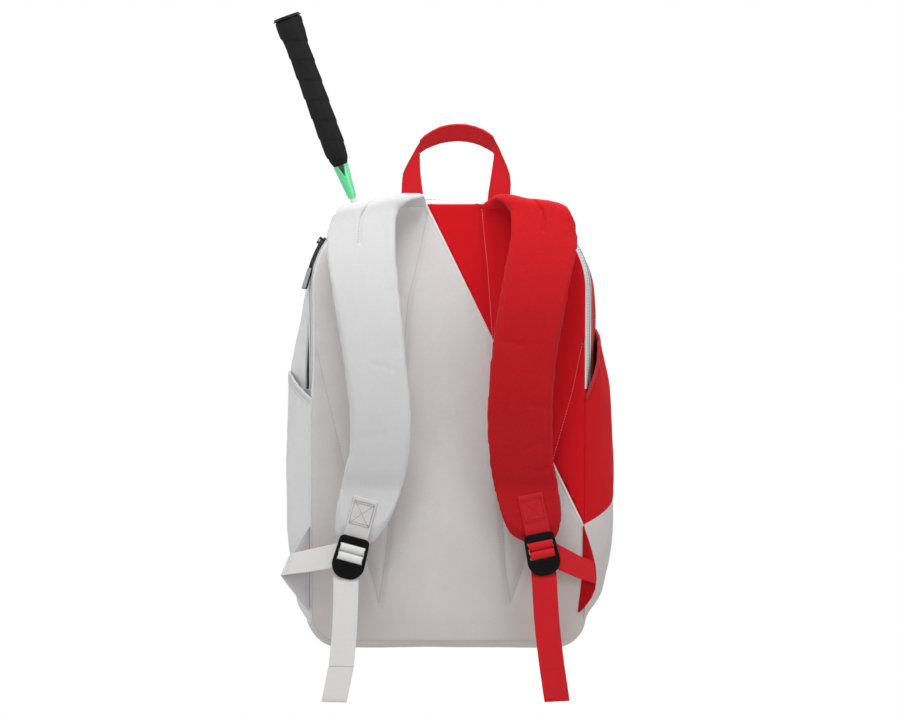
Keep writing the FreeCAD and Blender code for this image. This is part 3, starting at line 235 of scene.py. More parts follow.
def woven(name, light, dark, thread=0.0009, bump=0.35, sheen=0.12, on="uv", soil=0.16,
          cast=(0.80, 0.78, 0.77), rib=0.0, shine=0.25, low=0.0, reach=(-0.10, -0.52)):
    """A woven cloth: two close tones of one dye laid by the threads' height, painted shade in the hollows
    between them; slightly mottled, and where low is given, painted shade towards its foot.
    """
    finish, tree, shader = blank(name)
    shader["Sheen Weight"].default_value = sheen
    shader["Sheen Roughness"].default_value = 0.5
    shader["Specular IOR Level"].default_value = shine
    place = add(tree, "TexCoord").outputs
    laid = place["UV"]
    if on != "uv":
        laid = add(tree, "Mapping", {"Rotation": on, "Vector": place["Object"]}).outputs[0]
    threads = {"Thread": thread, "Rib": rib, "Place": laid}
    cloth = add(tree, "Group", threads, node_tree=weave).outputs
    mottle = scaled(tree, cloth["Mottle"], from_min=0.4, from_max=0.72, to_max=soil)
    # painted shade: the darker tone lies in the hollows between threads, the lighter on their crowns
    colour = tones(tree, cloth["Shade"], dark, light)
    colour = tones(tree, mottle, colour, (*cast, 1), "MULTIPLY")
    if low:
        # painted shade: darker and warmer towards the foot, standing in for light that falls off downwards
        height = add(tree, "SeparateXYZ", {0: place["Object"]}).outputs["Z"]
        foot = scaled(tree, height, from_min=reach[0], from_max=reach[1], to_max=low)
        colour = tones(tree, foot, colour, (0.80, 0.76, 0.74, 1), "MULTIPLY")
    tree.links.new(colour, shader["Base Color"])
    worn = scaled(tree, cloth["Shade"], to_min=0.74, to_max=0.93)
    tree.links.new(worn, shader["Roughness"])
    emboss(tree, shader, cloth["Height"], bump, 0.0003)
    return finish


pale_cloth = woven("pale_cloth", dye(232, 231, 231), dye(212, 211, 210))
red_cloth = woven("red_cloth", dye(222, 24, 34), dye(192, 14, 24), sheen=0.02, shine=0.1)


def pick(*pieces):
    """Select pieces and make the last one active."""
    bpy.ops.object.select_all(action="DESELECT")
    for piece in pieces:
        piece.select_set(True)
    bpy.context.view_layer.objects.active = pieces[-1]


def rework(piece, *jobs):
    """Work on all of a piece's mesh: each job is an operator's name and its settings."""
    pick(piece)
    bpy.ops.object.mode_set(mode="EDIT")
    bpy.ops.mesh.select_all(action="SELECT")
    for job, settings in jobs:
        getattr(bpy.ops.mesh, job)(**settings)
    bpy.ops.object.mode_set(mode="OBJECT")


def alter(piece, kind, **settings):
    """Put one modifier through a piece's mesh."""
    pick(piece)
    change = piece.modifiers.new(kind.lower(), kind)
    for name, value in settings.items():
        setattr(change, name, value)
    bpy.ops.object.modifier_apply(modifier=change.name)


def thicken(piece, thick):
    """Give a piece its thickness, in millimetres, on the inside."""
    alter(piece, "SOLIDIFY", thickness=thick / 1000, offset=-1)


def panel(name, rows, finish, thick, body="bag", middle=(0, 70, 240)):
    """A piece of cloth laid through rows of points, with its thickness on the inside."""
    tall, wide = len(rows), len(rows[0])
    bpy.ops.mesh.primitive_grid_add(x_subdivisions=wide - 1, y_subdivisions=tall - 1, size=1)
    piece = bpy.context.object
    piece.name = name
    mesh = piece.data
    mesh.name = name
    places = [place for row in rows for place in row]
    mesh.vertices.foreach_set("co", [value for place in places for value in spot(*place)])
    along = [[0.0] * wide for row in rows]
    up = [[0.0] * wide for row in rows]
    for i in range(tall):
        for j in range(wide):
            here = Vector(rows[i][j])
            if j:
                along[i][j] = along[i][j - 1] + (here - Vector(rows[i][j - 1])).length / 1000
            if i:
                up[i][j] = up[i - 1][j] + (here - Vector(rows[i - 1][j])).length / 1000
    for i in range(tall):
        centre = 0.5 * along[i][-1]
        for j in range(wide):
            along[i][j] -= centre
    layer = mesh.uv_layers.active or mesh.uv_layers.new()
    for loop in mesh.loops:
        i, j = divmod(loop.vertex_index, wide)
        layer.data[loop.index].uv = (along[i][j], up[i][j])
    mesh.update()
    heart = spot(*middle)
    facing = sum((face.center - heart).dot(face.normal) * face.area for face in mesh.polygons)
    if facing < 0:
        rework(piece, ("flip_normals", {}))
    mesh.materials.append(finish)
    if thick:
        thicken(piece, thick)
    bpy.ops.object.shade_smooth_by_angle(angle=math.radians(50))
    if body:
        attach(piece, body)
    return piece


def seam_dip(x, z, lines, deep, wide):
    """How far quilting pulls the cloth in beside its seams."""
    nearest = 1e9
    for (x1, z1), (x2, z2) in lines:
        run_x, run_z = x2 - x1, z2 - z1
        share = ((x - x1) * run_x + (z - z1) * run_z) / (run_x * run_x + run_z * run_z)
        share = min(max(share, 0.0), 1.0)
        nearest = min(nearest, math.hypot(x - x1 - share * run_x, z - z1 - share * run_z))
    return deep * math.exp(-(nearest / wide) ** 2)


def pairs_of(points):
    """The straight pieces of a line through points."""
    return list(zip(points, points[1:]))


def even(low, high, count):
    """Evenly spaced numbers from low to high."""
    return [low + (high - low) * k / count for k in range(count + 1)]


# seams, each from its top to its point low on the back: across, up
BACK_SEAMS = {
    "left_inner": ((-24, 471), (-34, 420), (-45.4, 375), (-48.6, 332), (-53, 230), (-60, 170), (-66, 137),
                   (-67.4, 116), (-71.4, 85), (-76, 53), (-77, 48)),
    "left_outer": ((-143, 318), (-136, 286), (-130, 262), (-113.4, 191), (-98, 130), (-88.6, 92),
                   (-80.5, 66), (-77, 48)),
    "right_inner": ((34.4, 474), (36.4, 449), (39.8, 418), (42.4, 385), (45.4, 342), (52, 210),
                    (59.4, 88), (65, 48)),
    "right_outer": ((143, 329), (132, 276), (111, 203), (94, 142), (78, 86), (65, 48)),
}
back_lines = [run for seam in BACK_SEAMS.values() for run in pairs_of(seam)]
COLOUR_SEAM = ((144, 134), (-24, 477))
CROSS_SEAM = ((-147, 280), (-112, 288))
# the back panel's outline: height of its top and foot, radius of its shoulders and corners
BACK_TOP, BACK_FOOT, SHOULDER, CORNER = 477, 7, 90, 26


def rounded(half, z, top, foot, shoulder, corner):
    """Half a panel's width at a height, drawn in at its rounded shoulders and corners."""
    if z > top - shoulder:
        return half - shoulder + math.sqrt(max(shoulder ** 2 - (z - top + shoulder) ** 2, 0))
    if z < foot + corner:
        return half - corner + math.sqrt(max(corner ** 2 - (foot + corner - z) ** 2, 0))
    return half


def back_half(z):
    """Half the width of the back panel at a height, to its edge seam."""
    return rounded(145 + 2 * z / BACK_TOP, z, BACK_TOP, BACK_FOOT, SHOULDER, CORNER)


LEFT_DRIFT = ((-8, 0), (14, 1.8), (34, 5.0), (115, 5.0), (242, 4.2), (270, 2.8), (292, 0.6), (306, 0))


def left_drift(z):
    """Below the zip the left edge seam sits a little further out than the right one."""
    return between(z, LEFT_DRIFT)


def back_edge(x, z):
    """How far inside the back panel's edge seam a point is."""
    half = 145 + 2 * z / BACK_TOP
    x = x if x > 0 else max(-x - left_drift(z), 0)
    head, foot = BACK_TOP - SHOULDER, BACK_FOOT + CORNER
    if x > half - SHOULDER and z > head:
        return SHOULDER - math.hypot(x - half + SHOULDER, z - head)
    if x > half - CORNER and z < foot:
        return CORNER - math.hypot(x - half + CORNER, foot - z)
    return min(half - x, BACK_TOP - z, z - BACK_FOOT)


def back_face(x, z):
    """Where the quilted back panel's face lies, negative towards the wearer."""
    edge = back_edge(x, z)
    tuck = (0.5 + 0.5 * ease(z / 40)) * math.exp(-(max(edge - 0.8, 0) / 1.8) ** 2)
    tuck *= 1 - 0.8 * ease((z - 462) / 12)
    pillow = 1.6 * ease((edge - 2) / 26)
    lumbar = 1.4 * math.exp(-((z - 190) / 110) ** 2) * math.exp(-(x / 60) ** 2)
    open_back = ease((440 - z) / 60)
    dip = seam_dip(x, z, back_lines, 2.1, 3.0) + seam_dip(x, z, (COLOUR_SEAM,), 0.7, 1.6)
    dip += seam_dip(x, z, (CROSS_SEAM,), 0.6, 2.4)
    dip *= ease((BACK_TOP + 2 - z) / 12)
    slack = 0.8 * noise.noise(Vector((x / 46, z / 70, 3.1))) * ease(edge / 20)
    return tuck - (pillow + lumbar) * open_back + dip - slack * open_back


def closing(near, low, count):
    """Shares of a width from 0 to 1, closer together at both ends."""
    return near + even(low, 1 - low, count) + [1 - share for share in reversed(near)]


INNER_CUT = 0.4
levels = [BACK_FOOT + INNER_CUT + d for d in (0, 0.8, 2, 4, 7, 11, 16, 22)]
levels += even(38, 380, 84) + [386, 392, 398, 404, 410, 416, 422, 428, 434, 440, 445, 450, 455]
levels += [459, 463, 466, 468.5, 470.5, 472, 473.3, BACK_TOP - INNER_CUT]
back_rows = []
for z in levels:
    half = back_half(z) - INNER_CUT
    row = []
    for share in closing([0, 0.0055, 0.014, 0.028, 0.05], 0.08, 84):
        x = half * (2 * share - 1)
        x -= left_drift(z) * max(-x / half, 0)
        row.append((x, back_face(x, z), z + 2.0 * ease((z - 450) / 26)))
    back_rows.append(row)
back_red = panel("back_cloth_red", back_rows, red_cloth, 0, middle=(0, 200, 240))
pick(back_red)
bpy.ops.object.duplicate()
back_pale = bpy.context.object
back_pale.name = "back_cloth_pale"
back_pale.data.name = "back_cloth_pale"
# painted shade: with low this cloth darkens towards the foot, on the back panel, the base and the pale parts
# of the right side
back_cloth = woven("back_pale_cloth", dye(230, 228, 226), dye(212, 209, 207), soil=0.3,
                   cast=(0.82, 0.76, 0.75), low=0.7)
back_pale.data.materials[0] = back_cloth
(x1, z1), (x2, z2) = COLOUR_SEAM
# a place on the colour seam, and the way across it towards the red
SEAM_FOOT, ACROSS_SEAM = Vector((x1, 0, z1)), Vector((z2 - z1, 0, x1 - x2))
for piece, red in ((back_red, True), (back_pale, False)):
    cut = {"plane_co": spot(*SEAM_FOOT), "plane_no": ACROSS_SEAM.normalized()}
    rework(piece, ("bisect", {**cut, "clear_inner": red, "clear_outer": not red}))
    thicken(piece, 3.5)
    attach(piece, "bag")
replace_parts(back_red, "back_panel_red")
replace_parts(back_pale, "back_panel_pale")

# Sewing thread: lockstitch along the quilting seams, each stitch a short flat bead of thread.
# Grey thread is used on the pale cloth and pale pink on the red.


def thread_finish(name, colour):
    """Twisted polyester thread, a little glossy."""
    finish, tree, shader = blank(name)
    shader["Roughness"].default_value = 0.55
    place = add(tree, "TexCoord").outputs["Object"]
    twist = add(tree, "TexNoise", {"Scale": 900, "Vector": place}).outputs["Fac"]
    shaded = (*[part * 0.75 for part in colour[:3]], 1)
    tree.links.new(tones(tree, twist, shaded, colour), shader["Base Color"])
    return finish


grey_thread = thread_finish("grey_thread", dye(158, 156, 155))
piping_thread = thread_finish("piping_thread", dye(246, 246, 246))
pink_thread = thread_finish("pink_thread", dye(236, 178, 180))
dark_red_thread = thread_finish("dark_red_thread", dye(140, 14, 22))
THREADS = {-1: grey_thread, 1: dark_red_thread}
AWAY = (0, -1, 0)

bpy.ops.mesh.primitive_uv_sphere_add(segments=6, ring_count=4, radius=1)
bead = bpy.context.object
bead_places = [vertex.co.copy() for vertex in bead.data.vertices]
# sorted, because a new sphere's faces come in no fixed order
bead_faces = sorted(tuple(face.vertices) for face in bead.data.polygons)
bpy.data.objects.remove(bead)


def meshed(name, points, sides, finish):
    """A smooth piece made of points and faces."""
    mesh = bpy.data.meshes.new(name)
    mesh.from_pydata(points, [], sides)
    mesh.materials.append(finish)
    for face in mesh.polygons:
        face.use_smooth = True
    piece = bpy.data.objects.new(name, mesh)
    bpy.context.scene.collection.objects.link(piece)
    return piece


def sew(name, settings, finish, body="bag"):
    """One bead of thread or coil at each setting, as one piece."""
    points, sides = [], []
    for setting in settings:
        start = len(points)
        points += [setting @ place for place in bead_places]
        sides += [tuple(start + index for index in face) for face in bead_faces]
    piece = meshed(name, points, sides, finish)
    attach(piece, body)
    return piece


def frame_at(place, ahead, away, size):
    """A setting with its length ahead and its height away from the surface."""
    ahead = Vector(ahead).normalized()
    side = ahead.cross(Vector(away)).normalized()
    away = side.cross(ahead)
    turn = Matrix((ahead * size[0], side * size[1], away * size[2])).transposed().to_4x4()
    return Matrix.Translation(place) @ turn


def walk(points, pitch):
    """Evenly spaced places along a line, in millimetres, with the way ahead at each."""
    found = []
    due = pitch / 2
    for first, second in pairs_of([Vector(point) for point in points]):
        run = second - first
        while due <= run.length:
            found.append((first + run * (due / run.length), run.normalized()))
            due += pitch
        due -= run.length
    return found


def stitched(points, away, pitch=3.1, length=2.2, width=0.42, lift=0.1, high=0.22):
    """Settings of the stitches along a line on a surface that faces away."""
    settings = []
    for place, ahead in walk(points, pitch):
        facing = away(place) if callable(away) else Vector(away)
        middle = spot(*(place + facing * lift))
        settings.append(frame_at(middle, ahead, facing, (length / 2000, width / 2000, high / 1000)))
    return settings


def lie_on(pieces, points):
    """Drop a line of points straight back on to finished pieces, from in front of them."""
    found = []
    for x, z in points:
        for piece in pieces:
            struck, place = piece.ray_cast(spot(x, -90, z), Vector((0, 1, 0)))[:2]
            if struck and place.y < 0.03:
                found.append((place.x * 1000, place.y * 1000 + FORWARD, place.z * 1000 + RAISED))
                break
    return found


def spaced(points, pitch):
    """Points filled in along a line in the flat, at a pitch."""
    found = []
    for (x1, z1), (x2, z2) in pairs_of(points):
        count = max(int(math.hypot(x2 - x1, z2 - z1) / pitch), 1)
        found += [(x1 + (x2 - x1) * k / count, z1 + (z2 - z1) * k / count) for k in range(count)]
    return found + [points[-1]]


def on_back(points):
    """A line through points on the back panel, laid on its face."""
    return lie_on((back_pale, back_red), spaced(points, 4))


pale_back, red_back = [], []
for seam in BACK_SEAMS.values():
    for setting in stitched(on_back(seam), AWAY, width=0.55):
        off = setting.translation * 1000 + Vector((0, 0, RAISED)) - SEAM_FOOT
        (red_back if off.dot(ACROSS_SEAM) > 0 else pale_back).append(setting)
# a narrow white piping closes the pale side of the colour seam
piping = []
for place, ahead in walk(on_back([(-25.6, 475.6), (142.0, 133.6)]), 3.0):
    beside = spot(place.x, place.y - 0.25, place.z)
    piping.append(frame_at(beside, ahead, AWAY, (0.0021, 0.00085, 0.0006)))
sew("back_piping", piping, piping_thread)
sew("back_stitch_pale", pale_back, grey_thread)
sew("back_stitch_red", red_back, pink_thread)

# The stiffener: a smooth black plastic sheet that slips into a sleeve behind the back panel and
# keeps it flat.


def moulded(name, colour, rough, grain=420, bump=0.12, coat=0.0, metal=0.0, shine=0.5):
    """A moulded or painted surface with fine grain, rubbed a little smoother in patches."""
    finish, tree, shader = blank(name)
    shader["Specular IOR Level"].default_value = shine
    shader["Coat Weight"].default_value = coat
    shader["Coat Roughness"].default_value = 0.12
    shader["Metallic"].default_value = metal
    place = add(tree, "TexCoord").outputs["Object"]
    fine = add(tree, "TexNoise", {"Scale": grain, "Detail": 3, "Vector": place}).outputs["Fac"]
    rubbed = add(tree, "TexNoise", {"Scale": 38, "Detail": 4, "Vector": place}).outputs["Fac"]
    level = scaled(tree, rubbed, to_min=rough + 0.10, to_max=max(rough - 0.10, 0.04))
    tree.links.new(level, shader["Roughness"])
    dull = (*[part * 0.86 for part in colour[:3]], 1)
    clear = (*[min(part * 1.12 + 0.004, 1) for part in colour[:3]], 1)
    tree.links.new(tones(tree, rubbed, dull, clear), shader["Base Color"])
    emboss(tree, shader, fine, bump, 0.0002)
    return finish


def dress(finish, *names):
    """Give nodes of the frame a finish."""
    for name in names:
        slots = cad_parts[name].data.materials
        slots.clear()
        slots.append(finish)


dress(moulded("stiff_sheet", dye(52, 52, 54), 0.45), "back_stiffener")

# The shell's walls: foam-backed cloth all round, sewn from a rear gusset each side, a side panel
# each side, a top, a base and a front. Each is cut to the bag's upright outline.

WALL = (
    # forward, half width at the shoulders and at the base, top, floor, shoulder and base radius
    (0, 147, 145, 477, 7, 90, 26),
    (60, 157, 150, 482, 0, 96, 31),
    (110, 157, 150, 482, 0, 96, 31),
    (140, 147, 140, 472, 8, 86, 26),
)
# places along half the outline: the middle of the base, round the side, to the middle of the top
FLOOR_END, BASE_SPLIT, CORNER_END, ZIP_END, SIDE_END, CROWN_END = 8, 17, 18, 44, 56, 82
HALF_WAY = 92
# height at which the zip starts on each side
ZIP_FOOT = 279


def wall_sizes(y):
    """The outline's six sizes at a depth."""
    y = min(max(y, 0), 140)
    for low, high in zip(WALL, WALL[1:]):
        if y <= high[0]:
            share = (y - low[0]) / (high[0] - low[0])
            return [a + (b - a) * share for a, b in zip(low[1:], high[1:])]
    return list(WALL[-1][1:])


def left_out(y, z):
    """How far the left wall stands out: all of it low down, only its rear edge higher up."""
    return left_drift(z) * (1 - ease(y / 60) * ease((z - 40) / 40))


def right_tuck(y, z):
    """How far the right wall is drawn in at its foot."""
    return 4.6 * ease((62 - z) / 26) * ease((y - 6) / 36)


def wall_drift(y, z, side):
    """How far a wall is moved out or in at a depth and height."""
    return left_out(y, z) if side < 0 else -right_tuck(y, z)


def two_colours(piece):
    """Carry the colour seam on across a right-hand piece: red above it, pale below."""
    piece.data.materials.append(back_cloth)
    below_seam = len(piece.data.materials) - 1
    seam_foot, seam_rise = spot(150, 3, 134), Vector((0, 59, 25)).normalized()
    seam_across = Vector((0, -seam_rise.z, seam_rise.y))
    rework(piece, ("bisect", {"plane_co": seam_foot, "plane_no": seam_across}))
    for face in piece.data.polygons:
        if (face.center - seam_foot).dot(seam_across) < 0:
            face.material_index = below_seam
    for vertex in piece.data.vertices:
        gap = abs((vertex.co - seam_foot).dot(seam_across)) * 1000
        vertex.co.x -= 0.0009 * math.exp(-(gap / 1.6) ** 2)


def round_to(centre, radius, turn):
    """A place on a circle, and the way out of it there."""
    away = (math.cos(turn), math.sin(turn))
    return (centre[0] + radius * away[0], centre[1] + radius * away[1]), away


def wall_place(k, y, side):
    """A place on the outline at a depth, and the way out of the bag there, in its own plane."""
    top_half, base_half, top, floor, crown, corner = wall_sizes(y)
    in_x, up_z = top_half - crown - base_half + corner, top - crown - floor - corner
    tilt = math.asin((crown - corner) / math.hypot(in_x, up_z)) + math.atan2(in_x, up_z)
    foot = (base_half - corner, floor + corner)
    head = (top_half - crown, top - crown)
    low, high = round_to(foot, corner, -tilt)[0], round_to(head, crown, -tilt)[0]
    if k <= FLOOR_END:
        place, away = (foot[0] * k / FLOOR_END, floor), (0, -1)
    elif k <= CORNER_END:
        turn = -math.pi / 2 + (math.pi / 2 - tilt) * (k - FLOOR_END) / (CORNER_END - FLOOR_END)
        place, away = round_to(foot, corner, turn)
    elif k <= SIDE_END:
        if k <= ZIP_END:
            z = low[1] + (ZIP_FOOT - low[1]) * (k - CORNER_END) / (ZIP_END - CORNER_END)
        else:
            z = ZIP_FOOT + (high[1] - ZIP_FOOT) * (k - ZIP_END) / (SIDE_END - ZIP_END)
        share = (z - low[1]) / (high[1] - low[1])
        place = (low[0] + (high[0] - low[0]) * share, z)
        away = (math.cos(-tilt), math.sin(-tilt))
    elif k <= CROWN_END:
        turn = -tilt + (math.pi / 2 + tilt) * (k - SIDE_END) / (CROWN_END - SIDE_END)
        place, away = round_to(head, crown, turn)
    else:
        place, away = (head[0] * (HALF_WAY - k) / (HALF_WAY - CROWN_END), top), (0, 1)
    drift = wall_drift(y, place[1], side) if FLOOR_END <= k <= CROWN_END else 0
    return (side * (place[0] + drift), place[1]), (side * away[0], away[1])


def fullness(y):
    """The shell rounds over where its depth is greatest, where the frame is cut square."""
    return 2.4 * math.sin(math.pi * ease((y - 46) / 94)) if 46 < y < 140 else 0.0


SHOULDER_TUCK = ((337, 0), (360, 0.8), (380, 2), (397, 3.2), (409, 4.4), (421, 5.3), (435, 6), (455, 5),
                 (470, 2.5), (480, 0))


def wall_point(k, y, side, lift=0.0, slack=1.0):
    """A point on the shell, lifted off it by so much. Forward of the zip the shoulders are slack."""
    (x, z), (out_x, out_z) = wall_place(k, y, side)
    calm = ease((y - 2) / 24) * ease((139 - y) / 20)
    loose = 1.3 * noise.noise(Vector((x / 52 + 9, y / 40, z / 60))) * calm * slack
    if 12 < y < 50 and z > 250:
        loose = 0.0
    off = lift + fullness(y) + loose - between(z, SHOULDER_TUCK) * ease((y - 34) / 22)
    return (x + out_x * off, y, z + out_z * off)


def tucked(low, high, count):
    """Distances from one seam to the next, closer at the seams, and how far each is tucked in."""
    run = high - low
    near = [0, 0.5, 1.2, 2.2, 3.6]
    spots = near + even(5.2, run - 5.2, count) + [run - d for d in reversed(near)]
    return [(low + d, -1.5 * math.exp(-(min(d, run - d) / 1.5) ** 2)) for d in spots]


SWELL = ((120, 0), (200, 10), (262, 16.4), (290, 16.4), (304, 15.4), (331, 9.6), (353, 4.6), (384, 0.5),
         (400, 0))


def side_swell(y, z):
    """The loaded left side stands out over its pocket, most at the pocket's mouth."""
    return math.sin(math.pi * min(max((y - 38) / 92, 0), 1)) ** 0.8 * between(z, SWELL)


def wall_rows(stations, depths, side):
    """Rows of points over a stretch of one side of the shell."""
    rows = []
    for k in stations:
        row = []
        for y, dip in depths:
            x, y, z = wall_point(k, y, side, dip)
            row.append((x - side_swell(y, z), y, z) if side < 0 and k < SIDE_END + 1 else (x, y, z))
        rows.append(row)
    return rows


gusset_depths = [(0.8, -0.9), (1.2, -0.3), (2.0, 0), (3.4, 0.2), (6, 0.2), (9, 0.2), (12, 0.1),
                 (14, 0), (15, -0.1), (15.8, -0.4), (16.4, -0.9)]
SIDES = (("left", -1, pale_cloth, "pale_cloth"), ("right", 1, red_cloth, "red_cloth"))
for word, side, finish, slot in SIDES:
    rows = wall_rows(range(ZIP_END, HALF_WAY + 1), gusset_depths, side)
    # over the crown it is rolled up into a rounded edge behind the back panel's top seam
    for row in rows:
        for j, (x, y, z) in enumerate(row):
            rolled = math.sin(math.pi * min(max((y - 0.6) / 15.6, 0), 1)) ** 0.7
            row[j] = (x, y, z + 5.4 * rolled * ease((84 - abs(x)) / 24) * ease((z - 440) / 30))
    gusset = panel("gusset_" + word, rows, pale_cloth, 2.2)
    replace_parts(gusset, "rear_gusset_" + word)
    # the side: full depth below the zip, and forward of the zip above it
    lower = wall_rows(range(BASE_SPLIT, ZIP_END + 1), tucked(1.0, 137.5, 34), side)
    upper = wall_rows(range(ZIP_END, CROWN_END + 1), tucked(45.6, 137.5, 24), side)
    below = panel("side_" + word, lower, finish, 2.6)
    above = panel("side_upper_" + word, upper, finish, 2.6)
    pick(above, below)
    bpy.ops.object.join()
    if side > 0:
        two_colours(below)
    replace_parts(below, "side_panel_" + word)

depths = tucked(1.0, 137.5, 30)
base_rows = wall_rows(range(BASE_SPLIT, 0, -1), depths, -1) + wall_rows(range(0, BASE_SPLIT + 1), depths, 1)
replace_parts(panel("base_cloth", base_rows, back_cloth, 2.6), "base_panel")
depths = tucked(45.6, 137.5, 24)
top_rows = wall_rows(range(CROWN_END, HALF_WAY), depths, -1)
top_rows += wall_rows(range(HALF_WAY, CROWN_END - 1, -1), depths, 1)
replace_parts(panel("top_cloth", top_rows, pale_cloth, 2.6), "top_panel")

FRONT_TOP, FRONT_FOOT, FRONT_CUT = 472, 8, 1.2


def front_half(z):
    """Half the width of the front panel at a height."""
    half = 140 + 7 * (z - FRONT_FOOT) / (FRONT_TOP - FRONT_FOOT)
    return rounded(half, z, FRONT_TOP, FRONT_FOOT, 86, CORNER)


front_levels = [FRONT_FOOT + FRONT_CUT + d for d in (0, 0.8, 2, 4, 7, 11, 16, 22)]
front_levels += even(38, 380, 60) + [386, 393, 400, 408, 416, 424, 431, 438, 444, 450, 455, 459, 462.5]
front_levels += [465, 467, 468.5, 469.7, 470.8]
front_rows = []
for z in front_levels:
    half = front_half(z) - FRONT_CUT
    row = []
    for share in closing([0, 0.006, 0.016, 0.03, 0.05], 0.08, 48):
        x = half * (2 * share - 1)
        edge = min(half - abs(x), FRONT_TOP - z, z - FRONT_FOOT) + FRONT_CUT
        slack = 1.6 * noise.noise(Vector((x / 60, 5.0, z / 80))) * ease(edge / 40)
        tuck = 2.4 * math.exp(-(max(edge - FRONT_CUT, 0) / 2.4) ** 2)
        # at its foot the panel follows the side panels, out on the left and in on the right
        x -= left_out(140, z) * max(-x / half, 0) + right_tuck(140, z) * max(x / half, 0)
        row.append((x, 139.6 + 2.2 * ease(edge / 30) + slack - tuck, z))
    front_rows.append(row)
front_cloth = panel("front_cloth", front_rows, pale_cloth, 3.0, middle=(0, 0, 240))
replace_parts(front_cloth, "front_panel")

# The main zip: a reversed coil on two woven tapes, up one side, over the top and down the other.
# It is parted where the racket's shaft comes out, between its two sliders.

tape_cloth = woven("zip_tape", dye(238, 240, 241), dye(226, 228, 230), thread=0.0006, bump=0.2, soil=0.08)
coil_nylon = moulded("zip_coil", dye(230, 232, 233), 0.42, bump=0.04, shine=0.3)
ZIP_LINE = 31
MOUTH_MIDDLE, MOUTH_HALF, MOUTH_GAP = -96, 38, 7.5


def parted(x, z):
    """How far the two tapes stand apart from the coil's middle line."""
    along = (x - MOUTH_MIDDLE) / MOUTH_HALF
    if abs(along) >= 1 or z < 400:
        return 2.5
    return max(2.5, MOUTH_GAP * math.sqrt(1 - along * along))


tape_stations = [(k, -1) for k in range(ZIP_END, HALF_WAY + 1)]
tape_stations += [(k, 1) for k in range(HALF_WAY - 1, ZIP_END - 1, -1)]
for word, way, seam in (("rear", -1, 15.2), ("front", 1, 46.8)):
    rows = []
    for k, side in tape_stations:
        edge = ZIP_LINE + way * parted(*wall_place(k, ZIP_LINE, side)[0])
        row = []
        for share, drop in ((0, 1.4), (0.15, 0.7), (0.4, 0.3), (0.7, 0.25), (0.9, 0.3), (1, 0.6)):
            y = seam + (edge - seam) * share
            row.append(wall_point(k, y, side, -drop, 0))
        rows.append(row)
    tape = panel("zip_tape_" + word + "_cloth", rows, tape_cloth, 0.9)
    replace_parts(tape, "zip_tape_" + word)


def lane_line(stations, y=ZIP_LINE, lift=0.0):
    """The zip's middle line over a run of stations."""
    return [wall_point(k, y, side, lift, 0) for k, side in stations]


def wall_away(place):
    """The way out of the bag at a place on its shoulder or side."""
    x, y, z = place
    top_half, top, crown = (wall_sizes(y)[index] for index in (0, 2, 4))
    head_x, head_z = top_half - crown, top - crown
    if z < head_z:
        return Vector((math.copysign(1, x), 0, 0))
    if abs(x) < head_x:
        return Vector((0, 0, 1))
    return Vector((x - math.copysign(head_x, x), 0, z - head_z)).normalized()


# where the two sliders stand: an angle round the left shoulder, and a place across the top
SLIDER_LEFT, SLIDER_RIGHT = math.radians(33), -54
SHOULDER_X, SHOULDER_Z = -59, 386.5
# half a coil tooth's length, width and height, closed and parted, in metres, and their pitch
TOOTH, TOOTH_PARTED = (0.00088, 0.0031, 0.0008), (0.0008, 0.0017, 0.0008)
TOOTH_PITCH = 1.9
finer = [(ZIP_END + k * 0.25, -1) for k in range((HALF_WAY - ZIP_END) * 4 + 1)]
finer += [(HALF_WAY - k * 0.25, 1) for k in range(1, (HALF_WAY - ZIP_END) * 4 + 1)]
lane = lane_line(finer)
left_foot, left_bend, right_run, right_rest = [], [], [], []
open_rear, open_front = [], []
for place, ahead in walk(lane, TOOTH_PITCH):
    away = wall_away(place)
    shoulder_angle = math.pi / 2
    if place.x < SHOULDER_X:
        shoulder_angle = math.atan2(place.z - SHOULDER_Z, SHOULDER_X - place.x)
    setting = frame_at(spot(*place), ahead, away, TOOTH)
    if place.x < 0 and place.z < 404:
        left_foot.append(setting)
    elif place.x < 0 and shoulder_angle < SLIDER_LEFT:
        left_bend.append(setting)
    elif place.x < SLIDER_RIGHT:
        gap = parted(place.x, place.z)
        for way, store in ((-1, open_rear), (1, open_front)):
            beside = Vector((place.x, ZIP_LINE + way * (gap - 1.0), place.z))
            store.append(frame_at(spot(*beside), ahead, away, TOOTH_PARTED))
    elif place.x < 46 and place.z > 400:
        right_run.append(setting)
    else:
        right_rest.append(setting)
foot = sew("zip_teeth_left", left_foot, coil_nylon)
bend = sew("zip_teeth_left_run", left_bend, coil_nylon)
run = sew("zip_teeth_right_run", right_run, coil_nylon)
rest = sew("zip_teeth_right", right_rest, coil_nylon)
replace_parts(foot, "zip_coil_left")
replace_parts(rest, "zip_coil_right")
# closed teeth are taken up by a slider as it travels
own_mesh(bend)
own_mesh(run)
sew("zip_teeth_open", open_rear + open_front, coil_nylon)

# a line of stitches each side of the zip, through gusset or side panel and tape
zip_thread_with_seam_shade = thread_finish("zip_thread_with_seam_shade", dye(132, 132, 131))
# on the left the stitches are darker, wider and closer than on the right: partly real thread, partly painted
# shade in the seam beside the zip
for word, side, thread, pitch, width in (
    ("left", -1, zip_thread_with_seam_shade, 2.4, 1.0), ("right", 1, grey_thread, 3.2, 0.7)
):
    settings = []
    for y in (13.6, 48.6):
        path = lane_line([(k, side) for k in range(ZIP_END, HALF_WAY + 1)], y, 0.15)
        settings += stitched(path, wall_away, pitch=pitch, width=width, high=0.6)
    sew("zip_stitch_" + word, settings, thread)

# The racket sleeve: a lining cloth divider and a floor of the same cloth, sewn across the inside.
# The racket stands in it head down, between the divider and the back.

